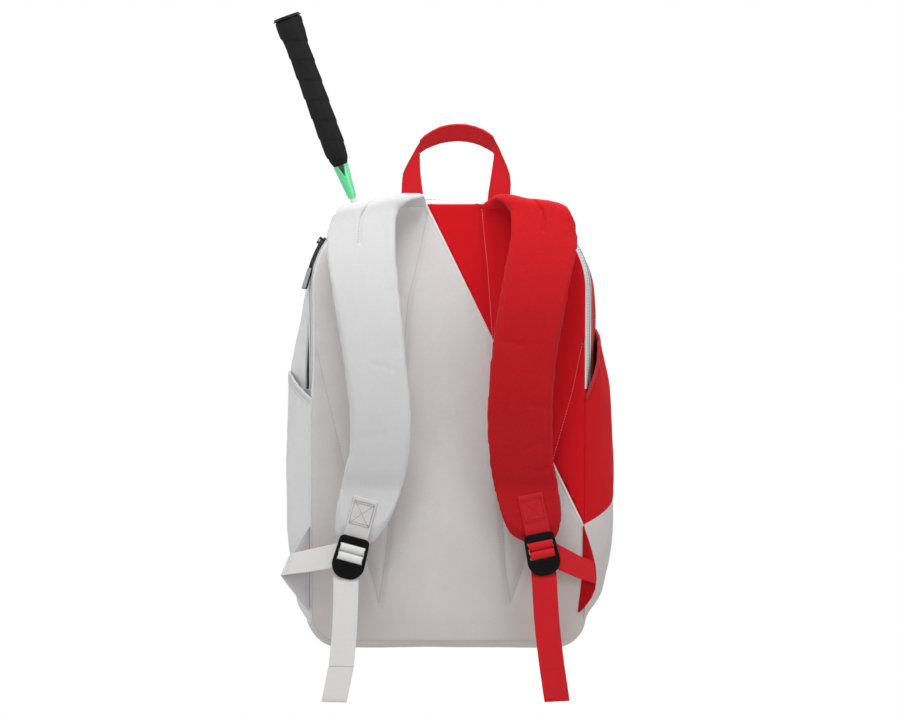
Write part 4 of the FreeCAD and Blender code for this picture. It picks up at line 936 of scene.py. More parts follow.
lining = woven("lining", dye(58, 58, 62), dye(44, 44, 48), thread=0.0005, bump=0.15, sheen=0.05)


def divider_place(share, z):
    """A place on the divider, which sags a little: its share of the half width, its height."""
    sag = 1.1 * noise.noise(Vector((share * 2.4, 1.7, z / 90)))
    return ((back_half(min(z, 430)) - 6) * share, 53.5 + sag, z)


def floor_place(share, y):
    """A place on the sleeve's floor, which is dished."""
    dish = 0.9 * math.cos(share * math.pi / 2) * math.sin(math.pi * (y - 9) / 42.5)
    return (127 * share, y, 42.6 - dish)


rows = [[divider_place(share, z) for share in even(-1, 1, 30)] for z in even(40.5, 439, 40)]
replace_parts(panel("sleeve_wall", rows, lining, 1.2, middle=(0, 90, 240)), "sleeve_divider")
rows = [[floor_place(share, y) for share in even(-1, 1, 36)] for y in even(9, 51.5, 12)]
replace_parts(panel("sleeve_bottom", rows, lining, 1.6, middle=(0, 30, 0)), "sleeve_floor")

# The front pocket: one bowl of pale cloth stood off the front panel, its corners rounded, with a
# straight zip across its face below the top.

# half width, foot, top and corner radius
POCKET = (122.0, 24.0, 300.0, 40.0)
# its zip: height, and how far forward it lies
POCKET_ZIP, POCKET_FRONT = 250, 176.9


def pocket_edge(x, z):
    """How far inside the pocket's seam a point is."""
    half, low, high, bend = POCKET
    dx = abs(x) - (half - bend)
    dz = abs(z - 0.5 * (low + high)) - (0.5 * (high - low) - bend)
    outside = math.hypot(max(dx, 0), max(dz, 0))
    return bend - outside - min(max(dx, dz), 0)


def pocket_face(x, z):
    """How far forward the pocket's cloth is."""
    edge = pocket_edge(x, z)
    rim = min(max(edge, 0) / 19, 1)
    rise = 37.6 * (1 - (1 - rim) ** 2.6) ** 0.62
    near_zip = ease((abs(z - POCKET_ZIP) - 13) / 30)
    bulge = 3.0 * ease((edge - 14) / 60) * near_zip
    loose = 1.5 * noise.noise(Vector((x / 45, 8.2, z / 55))) * ease(edge / 22) * near_zip
    folds = 1.0 * math.sin(x / 7.5) * ease((52 - z) / 30) * ease(edge / 12)
    return 140 + rise + bulge + loose + folds


pocket_levels = [24.4, 25.2, 26.5, 28.5, 31, 34] + even(38, 230, 48) + [232.6, 234.2, 235.2]
pocket_levels += [264.8, 265.8, 267.4] + even(271, 286, 5) + [289, 292, 294.5, 296.6, 298.2, 299.6]
half, low, high, bend = POCKET
rows = []
for z in pocket_levels:
    wide = rounded(half, z, high, low, bend, bend)
    row = []
    for share in closing([0, 0.006, 0.015, 0.028, 0.044, 0.062], 0.09, 46):
        x = wide * (2 * share - 1)
        row.append((x, pocket_face(x, z), z))
    rows.append(row)
bowl = panel("front_pocket_cloth", rows, pale_cloth, 0, middle=(0, 60, 150))
# the slot for its zip
opening = bmesh.new()
opening.from_mesh(bowl.data)
gone = []
for face in opening.faces:
    middle = face.calc_center_median() * 1000
    if abs(middle.x) < 77.5 and abs(middle.z + RAISED - POCKET_ZIP) < 14.5:
        gone.append(face)
bmesh.ops.delete(opening, geom=gone, context="FACES")
opening.to_mesh(bowl.data)
opening.free()
thicken(bowl, 2.2)
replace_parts(bowl, "front_pocket")

for word, hem, edge in (("lower", 233.6, 247.3), ("upper", 252.7, 266.4)):
    rows = []
    for z in even(hem, edge, 4):
        outer = abs(z - POCKET_ZIP) / 16.4
        rows.append([(x, POCKET_FRONT - 0.9 * outer ** 4 - 0.5, z) for x in even(-79.5, 79.5, 50)])
    middle = (0, 60, POCKET_ZIP)
    tape = panel("pocket_tape_" + word + "_cloth", rows, tape_cloth, 0.9, middle=middle)
    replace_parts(tape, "pocket_tape_" + word)
run_settings, rest_settings = [], []
line = [(x, POCKET_FRONT, POCKET_ZIP) for x in (-69, 78)]
for place, ahead in walk(line, TOOTH_PITCH):
    setting = frame_at(spot(*place), ahead, (0, 1, 0), TOOTH)
    (run_settings if place.x < 65 else rest_settings).append(setting)
pocket_run = sew("pocket_teeth_run", run_settings, coil_nylon)
pocket_rest = sew("pocket_teeth", rest_settings, coil_nylon)
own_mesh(pocket_run)
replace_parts(pocket_rest, "pocket_coil")
settings = []
for z in (232.2, 267.8):
    path = [(x, pocket_face(x, z), z) for x in even(-80, 80, 30)]
    settings += stitched(path, (0, 1, 0))
inset = 3.4
ring = []
for way_x, way_z, start in ((1, 1, 0), (-1, 1, 90), (-1, -1, 180), (1, -1, 270)):
    for turn in range(0, 91, 10):
        angle = math.radians(start + turn)
        x = way_x * (half - bend) + (bend - inset) * math.cos(angle)
        z = 0.5 * (low + high) + way_z * (0.5 * (high - low) - bend) + (bend - inset) * math.sin(angle)
        ring.append((x, pocket_face(x, z), z))
ring.append(ring[0])


def pocket_away(place):
    """The way off the pocket's cloth."""
    x, z = place.x, place.z
    slope_x = pocket_face(x + 0.5, z) - pocket_face(x - 0.5, z)
    slope_z = pocket_face(x, z + 0.5) - pocket_face(x, z - 0.5)
    return Vector((-slope_x, 1, -slope_z)).normalized()


settings += stitched(ring, pocket_away, lift=0.15)
sew("pocket_stitch", settings, grey_thread)

# Side pockets: a bulging piece of cloth each side, gathered at the base, its slanting mouth bound
# with a band of ribbed elastic. The right one is red above the colour seam.

LOW_BULGE = ((30, 0.0), (36, 4.0), (46, 9.5), (64, 16.0), (86, 20.5), (112, 23.6), (180, 24.2))
BULGE = {
    # how far out each stands at a height
    "left": (*LOW_BULGE, (262, 20.5), (300, 18)),
    "right": (*LOW_BULGE, (262, 19.4), (285, 16.8), (300, 13.6), (316, 9.6), (326, 6.4), (336, 4.4),
              (350, 3.2), (370, 3.0)),
}
# the left pocket is drawn flat against the full bag, the right one gapes
ARCH = {"left": 1.15, "right": 0.85}
RIGHT_MOUTH = ((0.5, 268), (3, 273), (16, 292), (30, 308), (48, 326), (66, 335), (100, 342), (131, 346))


def mouth_height(y, word):
    """A pocket's mouth height along its slant."""
    if word == "left":
        return 268 + (y - 3) * 28 / 59 if y < 62 else 296 + (y - 62) * 0.1
    return between(y, RIGHT_MOUTH)


def side_half(y, z):
    """Half the width of the shell at a depth and height."""
    top_half, base_half, top, floor, crown, corner = wall_sizes(y)
    share = min(max((z - floor - corner) / (top - crown - floor - corner), 0), 1)
    half = base_half + (top_half - base_half) * share
    if z < floor + corner:
        drop = min(floor + corner - z, corner)
        half = base_half - corner + math.sqrt(max(corner ** 2 - drop ** 2, 0))
    return half


def pocket_side(y, z, word, gathers=1.0):
    """How far out a side pocket's cloth is."""
    across = (y - 2) / 130
    arch = max(math.sin(math.pi * min(max(across, 0), 1)), 0) ** ARCH[word]
    mouth = mouth_height(y, word)
    rise = between(z, BULGE[word])
    smooth = 0.5 * (between(z - 6, BULGE[word]) + between(z + 6, BULGE[word]))
    out = (0.4 * rise + 0.6 * smooth) * arch
    base = side_half(y, z) + 0.9
    near_mouth = math.exp(-((mouth - z) / 22) ** 2)
    near_base = math.exp(-((z - 40) / 26) ** 2)
    ripple = 0.8 * math.sin(y / 2.3) * near_mouth + 1.5 * math.sin(y / 4.6 + 0.6) * near_base
    loose = 2.0 * noise.noise(Vector((y / 38, z / 70, 4.4)))
    loose += 0.8 * noise.noise(Vector((y / 14, z / 26, 1.2)))
    return base + out + (ripple * gathers + loose) * arch * ease((z - 32) / 22)


pocket_stations = [0.5, 1.2, 2.3, 4.0, 6.0] + even(8.4, 124, 52) + [126.5, 128.6, 130.2, 131.2, 132.0]
for word, side, finish, slot in SIDES:
    rows = []
    for share in [0, 0.006, 0.016, 0.03] + even(0.05, 0.93, 52) + [0.95, 0.965, 0.98, 0.99, 1.0]:
        row = []
        for y in pocket_stations:
            z = 31 + (mouth_height(y, word) - 31) * share
            row.append((side * (pocket_side(y, z, word) + wall_drift(y, z, side)), y, z))
        rows.append(row)
    thick = 1.8 if side < 0 else 0
    cloth_piece = panel("side_pocket_cloth_" + word, rows, finish, thick, middle=(0, 66, 170))
    if side > 0:
        two_colours(cloth_piece)
        thicken(cloth_piece, 1.8)
    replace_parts(cloth_piece, "side_pocket_" + word)


def close_ends(piece):
    """Join a ring's seam and close its two ends."""
    rework(piece, ("remove_doubles", {"threshold": 0.00001}), ("select_all", {"action": "DESELECT"}),
           ("select_non_manifold", {}), ("edge_face_add", {}), ("select_all", {"action": "SELECT"}),
           ("normals_make_consistent", {"inside": False}))


def sweep(name, line, section, axes, finish, body):
    """A section, in millimetres, swept along a line: axes gives its two ways at each place."""
    rows = []
    last = len(line) - 1
    for i, place in enumerate(line):
        ahead = (Vector(line[min(i + 1, last)]) - Vector(line[max(i - 1, 0)])).normalized()
        across, off = axes(i, ahead)
        row = [tuple(Vector(place) + across * a + off * b) for a, b in section]
        rows.append(row + [row[0]])
    piece = panel(name, rows, finish, 0, None)
    close_ends(piece)
    if body:
        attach(piece, body)
    return piece


def binding(name, line, away, wide, thick, finish):
    """A soft rounded band along a line, drawn in at both ends: its width lies across the line."""
    section = []
    for turn in range(12):
        angle = 2 * math.pi * turn / 12
        c, s = math.cos(angle), math.sin(angle)
        a, b = math.copysign(abs(c) ** 0.55, c), math.copysign(abs(s) ** 0.8, s)
        section.append((a * wide / 2, b * thick / 2))

    def axes(i, ahead):
        side = ahead.cross(Vector(away)).normalized()
        pinch = 0.35 if i in (0, len(line) - 1) else 1
        return side * pinch, side.cross(ahead) * pinch

    return sweep(name, line, section, axes, finish, "bag")


ELASTIC = {
    "left": (dye(222, 221, 222), dye(196, 195, 197)),
    "right": (dye(206, 28, 36), dye(150, 12, 20)),
}
for word, side, finish, slot in SIDES:
    ribbed = woven("elastic_" + word, *ELASTIC[word], thread=0.0016, bump=0.5, soil=0.06)
    line = []
    for y in [1.0, 2.2] + even(3.5, 130.5, 60):
        z = mouth_height(y, word) - 2.2
        line.append((side * (pocket_side(y, z, word, 0.7) + wall_drift(y, z, side) - 0.8), y, z))
    bound = binding("pocket_elastic_" + word, line, (side, 0, 0), 7.0, 3.2, ribbed)
    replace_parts(bound, "pocket_binding_" + word)
    path = [(x + side * 1.6, y, z - 2.9) for x, y, z in line[2:-2]]
    settings = stitched(path, (side, 0, 0))
    path = []
    for y in even(6, 128, 50):
        z = mouth_height(y, word) - 9
        path.append((side * (pocket_side(y, z, word) + wall_drift(y, z, side) + 0.1), y, z))
    settings += stitched(path, (side, 0, 0), lift=0.15)
    sew("pocket_edge_stitch_" + word, settings, THREADS[side])

# The haul loop: red webbing sewn double, folded at both shoulders so that its crown lies turned
# down, with its legs sewn into the top seam behind the shoulder straps.


def webbing(name, light, dark):
    """Heavy webbing: thick ribs across, in two close tones laid by their height, painted shade between the
    ribs.
    """
    return woven(name, light, dark, thread=0.0013, bump=0.3, sheen=0.08, soil=0.06, rib=0.6)


red_web = webbing("red_webbing", dye(214, 25, 35), dye(188, 16, 26))
pale_web = webbing("pale_webbing", dye(233, 231, 228), dye(217, 216, 213))
LOOP = (
    # outer edge, inner edge, each across and up, then how far forward each is
    ((-52.4, 462), (-29.2, 462), 6.6, 6.6), ((-52.4, 478), (-29.2, 478), 6.6, 6.6),
    ((-52.4, 491), (-29.2, 491), 6.6, 6.6), ((-52.0, 502), (-30.4, 500), 6.4, 6.6),
    ((-50.8, 512), (-31.4, 508), 6.0, 6.8), ((-47.5, 519.5), (-32.0, 515), 5.4, 7.2),
    ((-42.6, 528), (-32.3, 521.5), 4.6, 7.6), ((-37.4, 537), (-32.4, 527.5), 3.8, 7.8),
    ((-33.2, 544.4), (-32.5, 533.2), 3.0, 8.0), ((-31.6, 546.6), (-31.0, 534.6), 0.5, 13.0),
    ((-26.5, 551.6), (-25.6, 538.2), 0.2, 13.5), ((-19.4, 556.2), (-18.2, 541.4), 0, 14),
    ((-10.5, 560.8), (-9.8, 544.3), 0, 14), ((-1.1, 563.2), (-1.1, 545.8), 0, 14),
    ((8, 564.0), (8, 546.6), 0, 14), ((17.3, 563.6), (17.0, 546.0), 0, 14),
    ((27, 561.4), (25.6, 544.4), 0, 14), ((35.6, 558), (33.4, 541.6), 0, 14),
    ((42.4, 553.6), (40.6, 537.9), 0.2, 13.5), ((46.2, 550.8), (46.0, 534.6), 0.5, 13.0),
    ((48.6, 547.6), (47.3, 532.4), 3.0, 8.0), ((52.6, 539.6), (46.8, 526.8), 3.8, 7.8),
    ((57.0, 529.8), (45.8, 520), 4.6, 7.6), ((61.6, 520), (44.8, 513), 5.4, 7.2),
    ((64.6, 511), (43.8, 506.4), 6.0, 6.8), ((65.8, 501), (42.8, 499.6), 6.4, 6.6),
    ((65.2, 490), (41.4, 491), 6.6, 6.6), ((64.6, 478), (40, 479), 6.6, 6.6),
    ((64.0, 462), (39, 463), 6.6, 6.6),
)


def on_loop(station, share, lift):
    """A point across the loop's webbing, from its outer edge to its inner one, lifted off it."""
    (x1, z1), (x2, z2), y1, y2 = station
    return (x1 + (x2 - x1) * share, y1 + (y2 - y1) * share - lift, z1 + (z2 - z1) * share)


shares = (0, 0.05, 0.14, 0.3, 0.5, 0.7, 0.86, 0.95, 1)
rows = [[on_loop(station, share, 0.5 * math.sin(math.pi * share)) for share in shares] for station in LOOP]
loop = panel("haul_loop_web", rows, red_web, 2.6, middle=(0, 400, 500))
alter(loop, "BEVEL", width=0.0007, segments=2, limit_method="ANGLE", angle_limit=math.radians(50))
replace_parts(loop, "haul_loop")
for index, inward in enumerate((0.12, 0.88)):
    path = [on_loop(station, inward, 0.25) for station in LOOP]
    settings = stitched(path, AWAY, pitch=3.4, lift=0.05)
    sew("loop_stitch_%d" % index, settings, dark_red_thread)

# Anchor wings: doubled cloth triangles sewn into the side seams low down, that hold the lower
# webbing. Each stands a little off the back and is drawn out by the webbing.

WINGS = {
    "left": (((-150.9, 128), (-152.4, 130)), ((-150.8, 116), (-160.4, 116)), ((-150.8, 104), (-167.6, 102.6)),
             ((-150.7, 94), (-174.6, 90.6)), ((-150.6, 84), (-182.6, 77.8)), ((-150.5, 72), (-175, 67)),
             ((-150.4, 60), (-165.6, 55.5)), ((-150.2, 49), (-157.4, 45.4)), ((-150, 43), (-152.4, 39))),
    "right": (((143.4, 131), (144.6, 129.8)), ((143.3, 118), (150.0, 115)), ((143.2, 104), (154.2, 101)),
              ((142.6, 90), (157.2, 88)), ((142.0, 76), (158.2, 74)), ((141.0, 64), (156.6, 62)),
              ((139.8, 54), (152.4, 53)), ((138.6, 44), (145.4, 43.6)), ((137.9, 38.4), (139.6, 38))),
}
deep_red = woven("red_wing", dye(198, 18, 30), dye(168, 11, 22), sheen=0.02, shine=0.1)
wing_grey = woven("pale_wing", dye(214, 208, 209), dye(192, 187, 188))
for word, stations in WINGS.items():
    low = 0.9 if word == "left" else -0.6
    rows = []
    for inner, outer in stations:
        row = []
        for share in even(0, 1, 8):
            x = inner[0] + (outer[0] - inner[0]) * share
            z = inner[1] + (outer[1] - inner[1]) * share
            row.append((x, low - (low + 3) * math.sin(share * math.pi / 2), z))
        rows.append(row)
    finish = wing_grey if word == "left" else deep_red
    wing = panel("wing_cloth_" + word, rows, finish, 1.8, middle=(0, 300, 80))
    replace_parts(wing, "anchor_wing_" + word)
# painted shadow: a line of dark grey beads along the left wing's seam stands for the shade in the fold
# between it and the back
fold = [(-151.3, -1.5, z) for z in even(131, 44, 20)]
fold_shadow_beads = thread_finish("fold_shadow_beads", dye(112, 110, 110))
sew("wing_fold_shadow", stitched(fold, AWAY, 2.0, 2.3, 0.75, 0), fold_shadow_beads)

# Shoulder pads: foam between two layers of cloth, sewn into the top seam of the back, rolled
# over it and left to hang. A pleat takes up the fullness where each goes over the shoulder.

PADS = {
    "left": {
        "side": -1, "slot": "pale_cloth",
        # height, inner edge, outer edge, both measured from the middle
        "edges": ((110, 92, 111), (111.5, 86.5, 116), (114, 82.5, 119.2), (118, 79, 121.4), (126, 72.5, 123),
                  (135, 66.3, 123.4), (151, 58.9, 122), (164, 54.4, 119.8), (177, 50.8, 117.2),
                  (190, 48.4, 114.6), (200, 46.9, 112.2), (210, 45.2, 109.6), (224, 43.8, 108.4),
                  (242, 43.2, 108.6), (267, 44.8, 110.4), (298, 47.5, 114.3), (318, 49.5, 117.1),
                  (346, 52.3, 121.6), (376, 55.6, 126.4), (402, 58, 130.6), (420, 59.3, 133.2),
                  (432, 59.8, 133.6), (445, 60.2, 132.6), (457, 60.0, 130.2), (466, 58.6, 126.4),
                  (472, 57.2, 121.6), (478, 54.6, 115.0), (483, 47, 110.0), (486, 37, 108), (500, 31, 106)),
        # inner and outer edge where it is sewn in, then the inner edge at the crest
        "root": (25.8, 112, 31.0),
        "crest": ((26, -0.4), (31, 0.2), (52, 0.2), (69, -3.8), (90, -8.1), (98, -10.2), (109, -11.6),
                  (116, -13), (134, -17)),
        "pleat": ((85.5, 482), (89.5, 475), (92.5, 470), (95, 464.5), (96.3, 457), (97, 447), (97.7, 436)),
        "creases": (((60, 300), (84, 306)), ((96, 226), (72, 232)), ((66, 168), (92, 174))),
    },
    "right": {
        "side": 1, "slot": "red_cloth",
        "edges": ((110, 88, 102), (111.5, 83, 106.5), (114, 79, 109.6), (118, 70.5, 112.8), (124, 64.6, 116),
                  (130, 60.6, 117.9), (142.6, 55.7, 119.9), (159, 51, 118.9), (173, 47.7, 117.6),
                  (190, 45.2, 114.6), (201, 43.9, 112.3), (215, 42.6, 111.2), (235, 41, 111.2),
                  (255, 40.7, 111.4), (270, 42.1, 112), (290, 43.6, 113.4), (306, 44.5, 115),
                  (331, 47.5, 118.8), (348, 49.8, 121.9), (382, 55.2, 127.8), (414, 61, 133.8),
                  (432, 64.6, 136.8), (443, 66.2, 137.0), (457, 67, 135.6), (466, 66.6, 132.6),
                  (472, 65.4, 129), (478, 62.4, 123.4), (483, 57.6, 116), (486, 54.5, 113), (500, 52, 111)),
        "root": (35.6, 116, 51.5),
        "crest": ((36, -3), (52, -0.8), (66, -1.2), (78, -3.9), (86, -6.0), (90.4, -5.6), (99, -6.8),
                  (109, -8.4), (118, -10.8), (125, -13.4), (132, -18), (140, -24)),
        "pleat": ((86.4, 485), (92.9, 480), (99.4, 471), (101.5, 461), (100, 449)),
        "creases": (((80, 214), (98, 221)), ((92, 190), (106, 193)), ((58, 330), (76, 327)),
                    ((88, 262), (104, 258))),
    },
}
# the roll over the top seam: forward and up to its middle, and its radius
ROLL = (-12.5, 481.0, 7.5)
PAD_HALF = 3.1
# cloth kept to spare at the edges, which draw in when the pad is filled
SPARE = 1.2
INNER_SPARE = {-1: 2.8, 1: 2.1}


def bow(z):
    """The pad's middle layer, seen from the side: a long bow off the back, then straight down."""
    foot_y, foot_z, head_y, head_z, radius = -27.2, 172.0, -20.0, 478.0, 557.0
    if z < foot_z:
        return foot_y + 0.5 * ease((foot_z - z) / 60)
    half = 0.5 * math.hypot(head_y - foot_y, head_z - foot_z)
    rise = radius - math.sqrt(radius ** 2 - half ** 2)
    share = (z - 0.5 * (head_z + foot_z)) / half
    line = head_y + (foot_y - head_y) * (head_z - z) / (head_z - foot_z)
    return line - rise * (1 - share * share)


def shoulder_edge(x):
    """Height of the back panel's top seam at a distance from the middle."""
    reach = max(x - 57, 0)
    return BACK_TOP - SHOULDER + math.sqrt(max(SHOULDER ** 2 - reach ** 2, 0))


def edge_at(pad, column, z, fade):
    """Where a pad's long edge lies: the crest falls outwards, so it is read where it ends up."""
    table = [(row[0], row[column]) for row in pad["edges"]]
    place = between(z, table)
    for _ in range(6):
        place = between(z + between(place, pad["crest"]) * fade, table)
    return place


def pad_stations(pad):
    """The pad's middle layer from root to end: forward, up, both edges, the way off it, share rolled."""
    found = []
    inner_root, outer_root, inner_top = pad["root"]
    for y, z, off in ((-2.2, 474.8, (0.82, 0.57)), (-2.8, 476.0, (0.85, 0.5)), (-3.6, 477.6, (0.9, 0.42)),
                      (-4.5, 479.3, (0.97, 0.24))):
        found.append((y, z, (inner_root, outer_root), off, 0.0))
    for turn in range(0, 181, 15):
        angle = math.radians(turn)
        y = ROLL[0] + ROLL[2] * math.cos(angle)
        z = ROLL[1] + ROLL[2] * math.sin(angle)
        share = turn / 180
        inner, outer = edge_at(pad, 1, z, 1.0), edge_at(pad, 2, z, 1.0)
        start = inner_root + (inner_top - inner_root) * ease(share / 0.5)
        inner = start + (inner - start) * ease((share - 0.45) / 0.55)
        outer = outer_root + (outer - outer_root) * ease(share / 0.6)
        found.append((y, z, (inner, outer), (math.cos(angle), math.sin(angle)), share))
    for z in even(474, 122, 88) + [119, 116.5, 114.5, 113, 111.8, 110.9, 110.3]:
        fade = ease((z - 392) / 84)
        inner, outer = edge_at(pad, 1, z, fade), edge_at(pad, 2, z, fade)
        slope = (bow(z + 1) - bow(z - 1)) / 2
        found.append((bow(z), z, (inner, outer), (-1, slope), 1.0))
    return found


def pad_rows(pad):
    """Rings of points round the pad, one for each station."""
    side = pad["side"]
    rows = []
    for i, (y, z, (inner, outer), (off_y, off_z), share) in enumerate(pad_stations(pad)):
        fuller = INNER_SPARE[side] * ease(share / 0.5) * (0.5 + 0.5 * ease((z - 165) / 40))
        inner, outer = inner - SPARE - fuller, outer + SPARE
        width = outer - inner
        dips = [min(d, width * 0.5) for d in (0, 0.5, 1.4, 2.8, 4.8, 7.5)]
        spots = dips + even(dips[-1], width - dips[-1], 14)[1:-1] + [width - d for d in reversed(dips)]
        end = min(i / 3, 1)
        if z < 122 and share == 1.0:
            end = math.sqrt(max(1 - ((122 - z) / 12.2) ** 2, 0.0))
        fade = ease((z - 392) / 84) if share == 1.0 else 1.0
        facing, backing = [], []
        for d in spots:
            round_edge = math.sqrt(1 - (1 - min(min(d, width - d) / 7.0, 1)) ** 2)
            half = PAD_HALF * (0.42 + 0.58 * round_edge) * max(end, 0.12)
            across = inner + d
            height = z + between(across, pad["crest"]) * fade
            if share == 0.0:
                height = min(height, shoulder_edge(across) + z - BACK_TOP)
            for store, sign in ((facing, half), (backing, -half)):
                store.append((side * across, y + sign * off_y, height + sign * off_z))
        rows.append(facing + list(reversed(backing)) + [facing[0]])
    return rows


def stuff(piece, cap):
    """Fill a pad: its cloth swells under pressure, no point moving further than the cap."""
    alter(piece, "REMESH", mode="VOXEL", voxel_size=0.0026, use_smooth_shade=True)
    start = [vertex.co.copy() for vertex in piece.data.vertices]
    cloth = piece.modifiers.new("cloth", "CLOTH")
    for name, value in (
        ("quality", 6), ("mass", 0.25), ("tension_stiffness", 25), ("compression_stiffness", 25),
        ("shear_stiffness", 12), ("bending_stiffness", 2.0), ("use_pressure", True),
        ("uniform_pressure_force", 4.0),
    ):
        setattr(cloth.settings, name, value)
    cloth.settings.effector_weights.gravity = 0
    cloth.point_cache.frame_start, cloth.point_cache.frame_end = 1, 20
    for number in range(1, 21):
        bpy.context.scene.frame_set(number)
    shaped = piece.evaluated_get(bpy.context.evaluated_depsgraph_get())
    ends = [vertex.co.copy() for vertex in shaped.data.vertices]
    piece.modifiers.remove(cloth)
    for vertex, before, after in zip(piece.data.vertices, start, ends):
        move = after - before
        if move.length > cap:
            move *= cap / move.length
        vertex.co = before + move
    bpy.context.scene.frame_set(1)
    alter(piece, "SMOOTH", factor=0.5, iterations=4)
    alter(piece, "SUBSURF", levels=1, render_levels=1)
    for face in piece.data.polygons:
        face.use_smooth = True


PAD_LEAN = 0.28
PAD_CLOTH = {
    "left": woven("pad_pale", dye(218, 217, 217), dye(202, 201, 201), thread=0.0017,
                  on=(math.pi / 2, 0, PAD_LEAN), rib=0.7),
    # painted light: low and reach darken the red pad from its crest downwards, so that its top reads as lit
    # from above
    "right": woven("pad_red", dye(214, 24, 33), dye(176, 13, 22), thread=0.0017, bump=0.5, sheen=0.1,
                   on=(math.pi / 2, 0, -PAD_LEAN), rib=0.7, shine=0.15, low=1.0, reach=(-0.07, -0.20)),
}
pad_pieces = {}
for word, pad in PADS.items():
    side, slot = pad["side"], pad["slot"]
    piece = panel("shoulder_pad_" + word, pad_rows(pad), PAD_CLOTH[word], 0, None)
    close_ends(piece)
    stuff(piece, 0.0019)
    # the pleat at the shoulder, a few soft creases, and the flat stretch under the patch
    pleat = pairs_of([(side * x, z) for x, z in pad["pleat"]])
    creases = [pairs_of([(side * x, z) for x, z in crease]) for crease in pad["creases"]]
    down_pleat = [(-z, x) for x, z in pad["pleat"]]
    pleat_foot = pad["pleat"][-1][1]
    for vertex in piece.data.vertices:
        x, y, z = vertex.co * 1000
        y, z = y + FORWARD, z + RAISED
        if (y < ROLL[0] - 2 or z > 480) and (z >= 478 or y < bow(z)):
            near = seam_dip(x, z, pleat, 1.0, 1.7)
            shelf = side * (x - side * between(-z, down_pleat))
            ridge = 0.9 * math.exp(-((shelf - 3) / 4) ** 2) * ease((z - pleat_foot + 4) / 24)
            dent = sum(seam_dip(x, z, line, 0.3 if side < 0 else 0.55, 3.4) for line in creases)
            soft = 0.9 * noise.noise(Vector((x / 34, z / 52, 6.6))) * ease((478 - z) / 30)
            y += 1.9 * near - ridge + dent + soft
        if z < 190:
            # pressed flat where the patch is sewn on
            y += (max(y, -31.45) - y) * ease((190 - z) / 34)
        vertex.co = spot(x, y, z)
    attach(piece, "strap_" + word)
    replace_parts(piece, "strap_pad_" + word)
    pad_pieces[word] = piece

# Stitches on the pads: one row of thread down each pleat, through the cloth folded under it, in
# grey on the pale pad and dark red on the red one.

for word, pad in PADS.items():
    side = pad["side"]
    pleat = [(side * (x + 1.6), z) for x, z in pad["pleat"]]
    settings = stitched(lie_on((pad_pieces[word],), spaced(pleat, 4)), AWAY, lift=0.06)
    sew("pad_stitch_" + word, settings, THREADS[side], "strap_" + word)

# Harness webbing: each pad's lower end carries a folded patch, sewn with a box and a cross, that
# holds the buckle. Another webbing from the wing runs through the buckle and hangs as a tail.

LOCKS = {
    # side, place across and up, lean in degrees
    "left": (-1, (-107.5, 97.5), 15.0, pale_web, "pale_cloth"),
    "right": (1, (99.5, 101.5), -12.0, red_web, "red_cloth"),
}
FLAT = ((-1, -0.25), (-0.985, 0.7), (-0.955, 1), (-0.88, 0.86), (-0.6, 1), (-0.3, 0.94), (0, 1), (0.3, 0.94),
        (0.6, 1), (0.88, 0.86), (0.955, 1), (0.985, 0.7), (1, -0.25))
WEB_RING = [(a, b) for a, b in FLAT] + [(a, -b) for a, b in reversed(FLAT)]


def flat_web(name, line, across, wide, thick, finish, body, square=True):
    """Webbing laid along a line, cut square or slanting: across gives its width at each point."""

    def axes(i, ahead):
        side = Vector(across(i) if callable(across) else across)
        if square:
            side = (side - ahead * side.dot(ahead)).normalized()
        return side, side.cross(ahead).normalized()

    section = [(a * wide / 2, b * thick / 2) for a, b in WEB_RING]
    return sweep(name, line, section, axes, finish, body)


def on_lock(word, u, y, w):
    """A point given along and across a leaning buckle."""
    x, z = LOCKS[word][1]
    turn = math.radians(LOCKS[word][2])
    return (x + u * math.cos(turn) + w * math.sin(turn), y, z - u * math.sin(turn) + w * math.cos(turn))


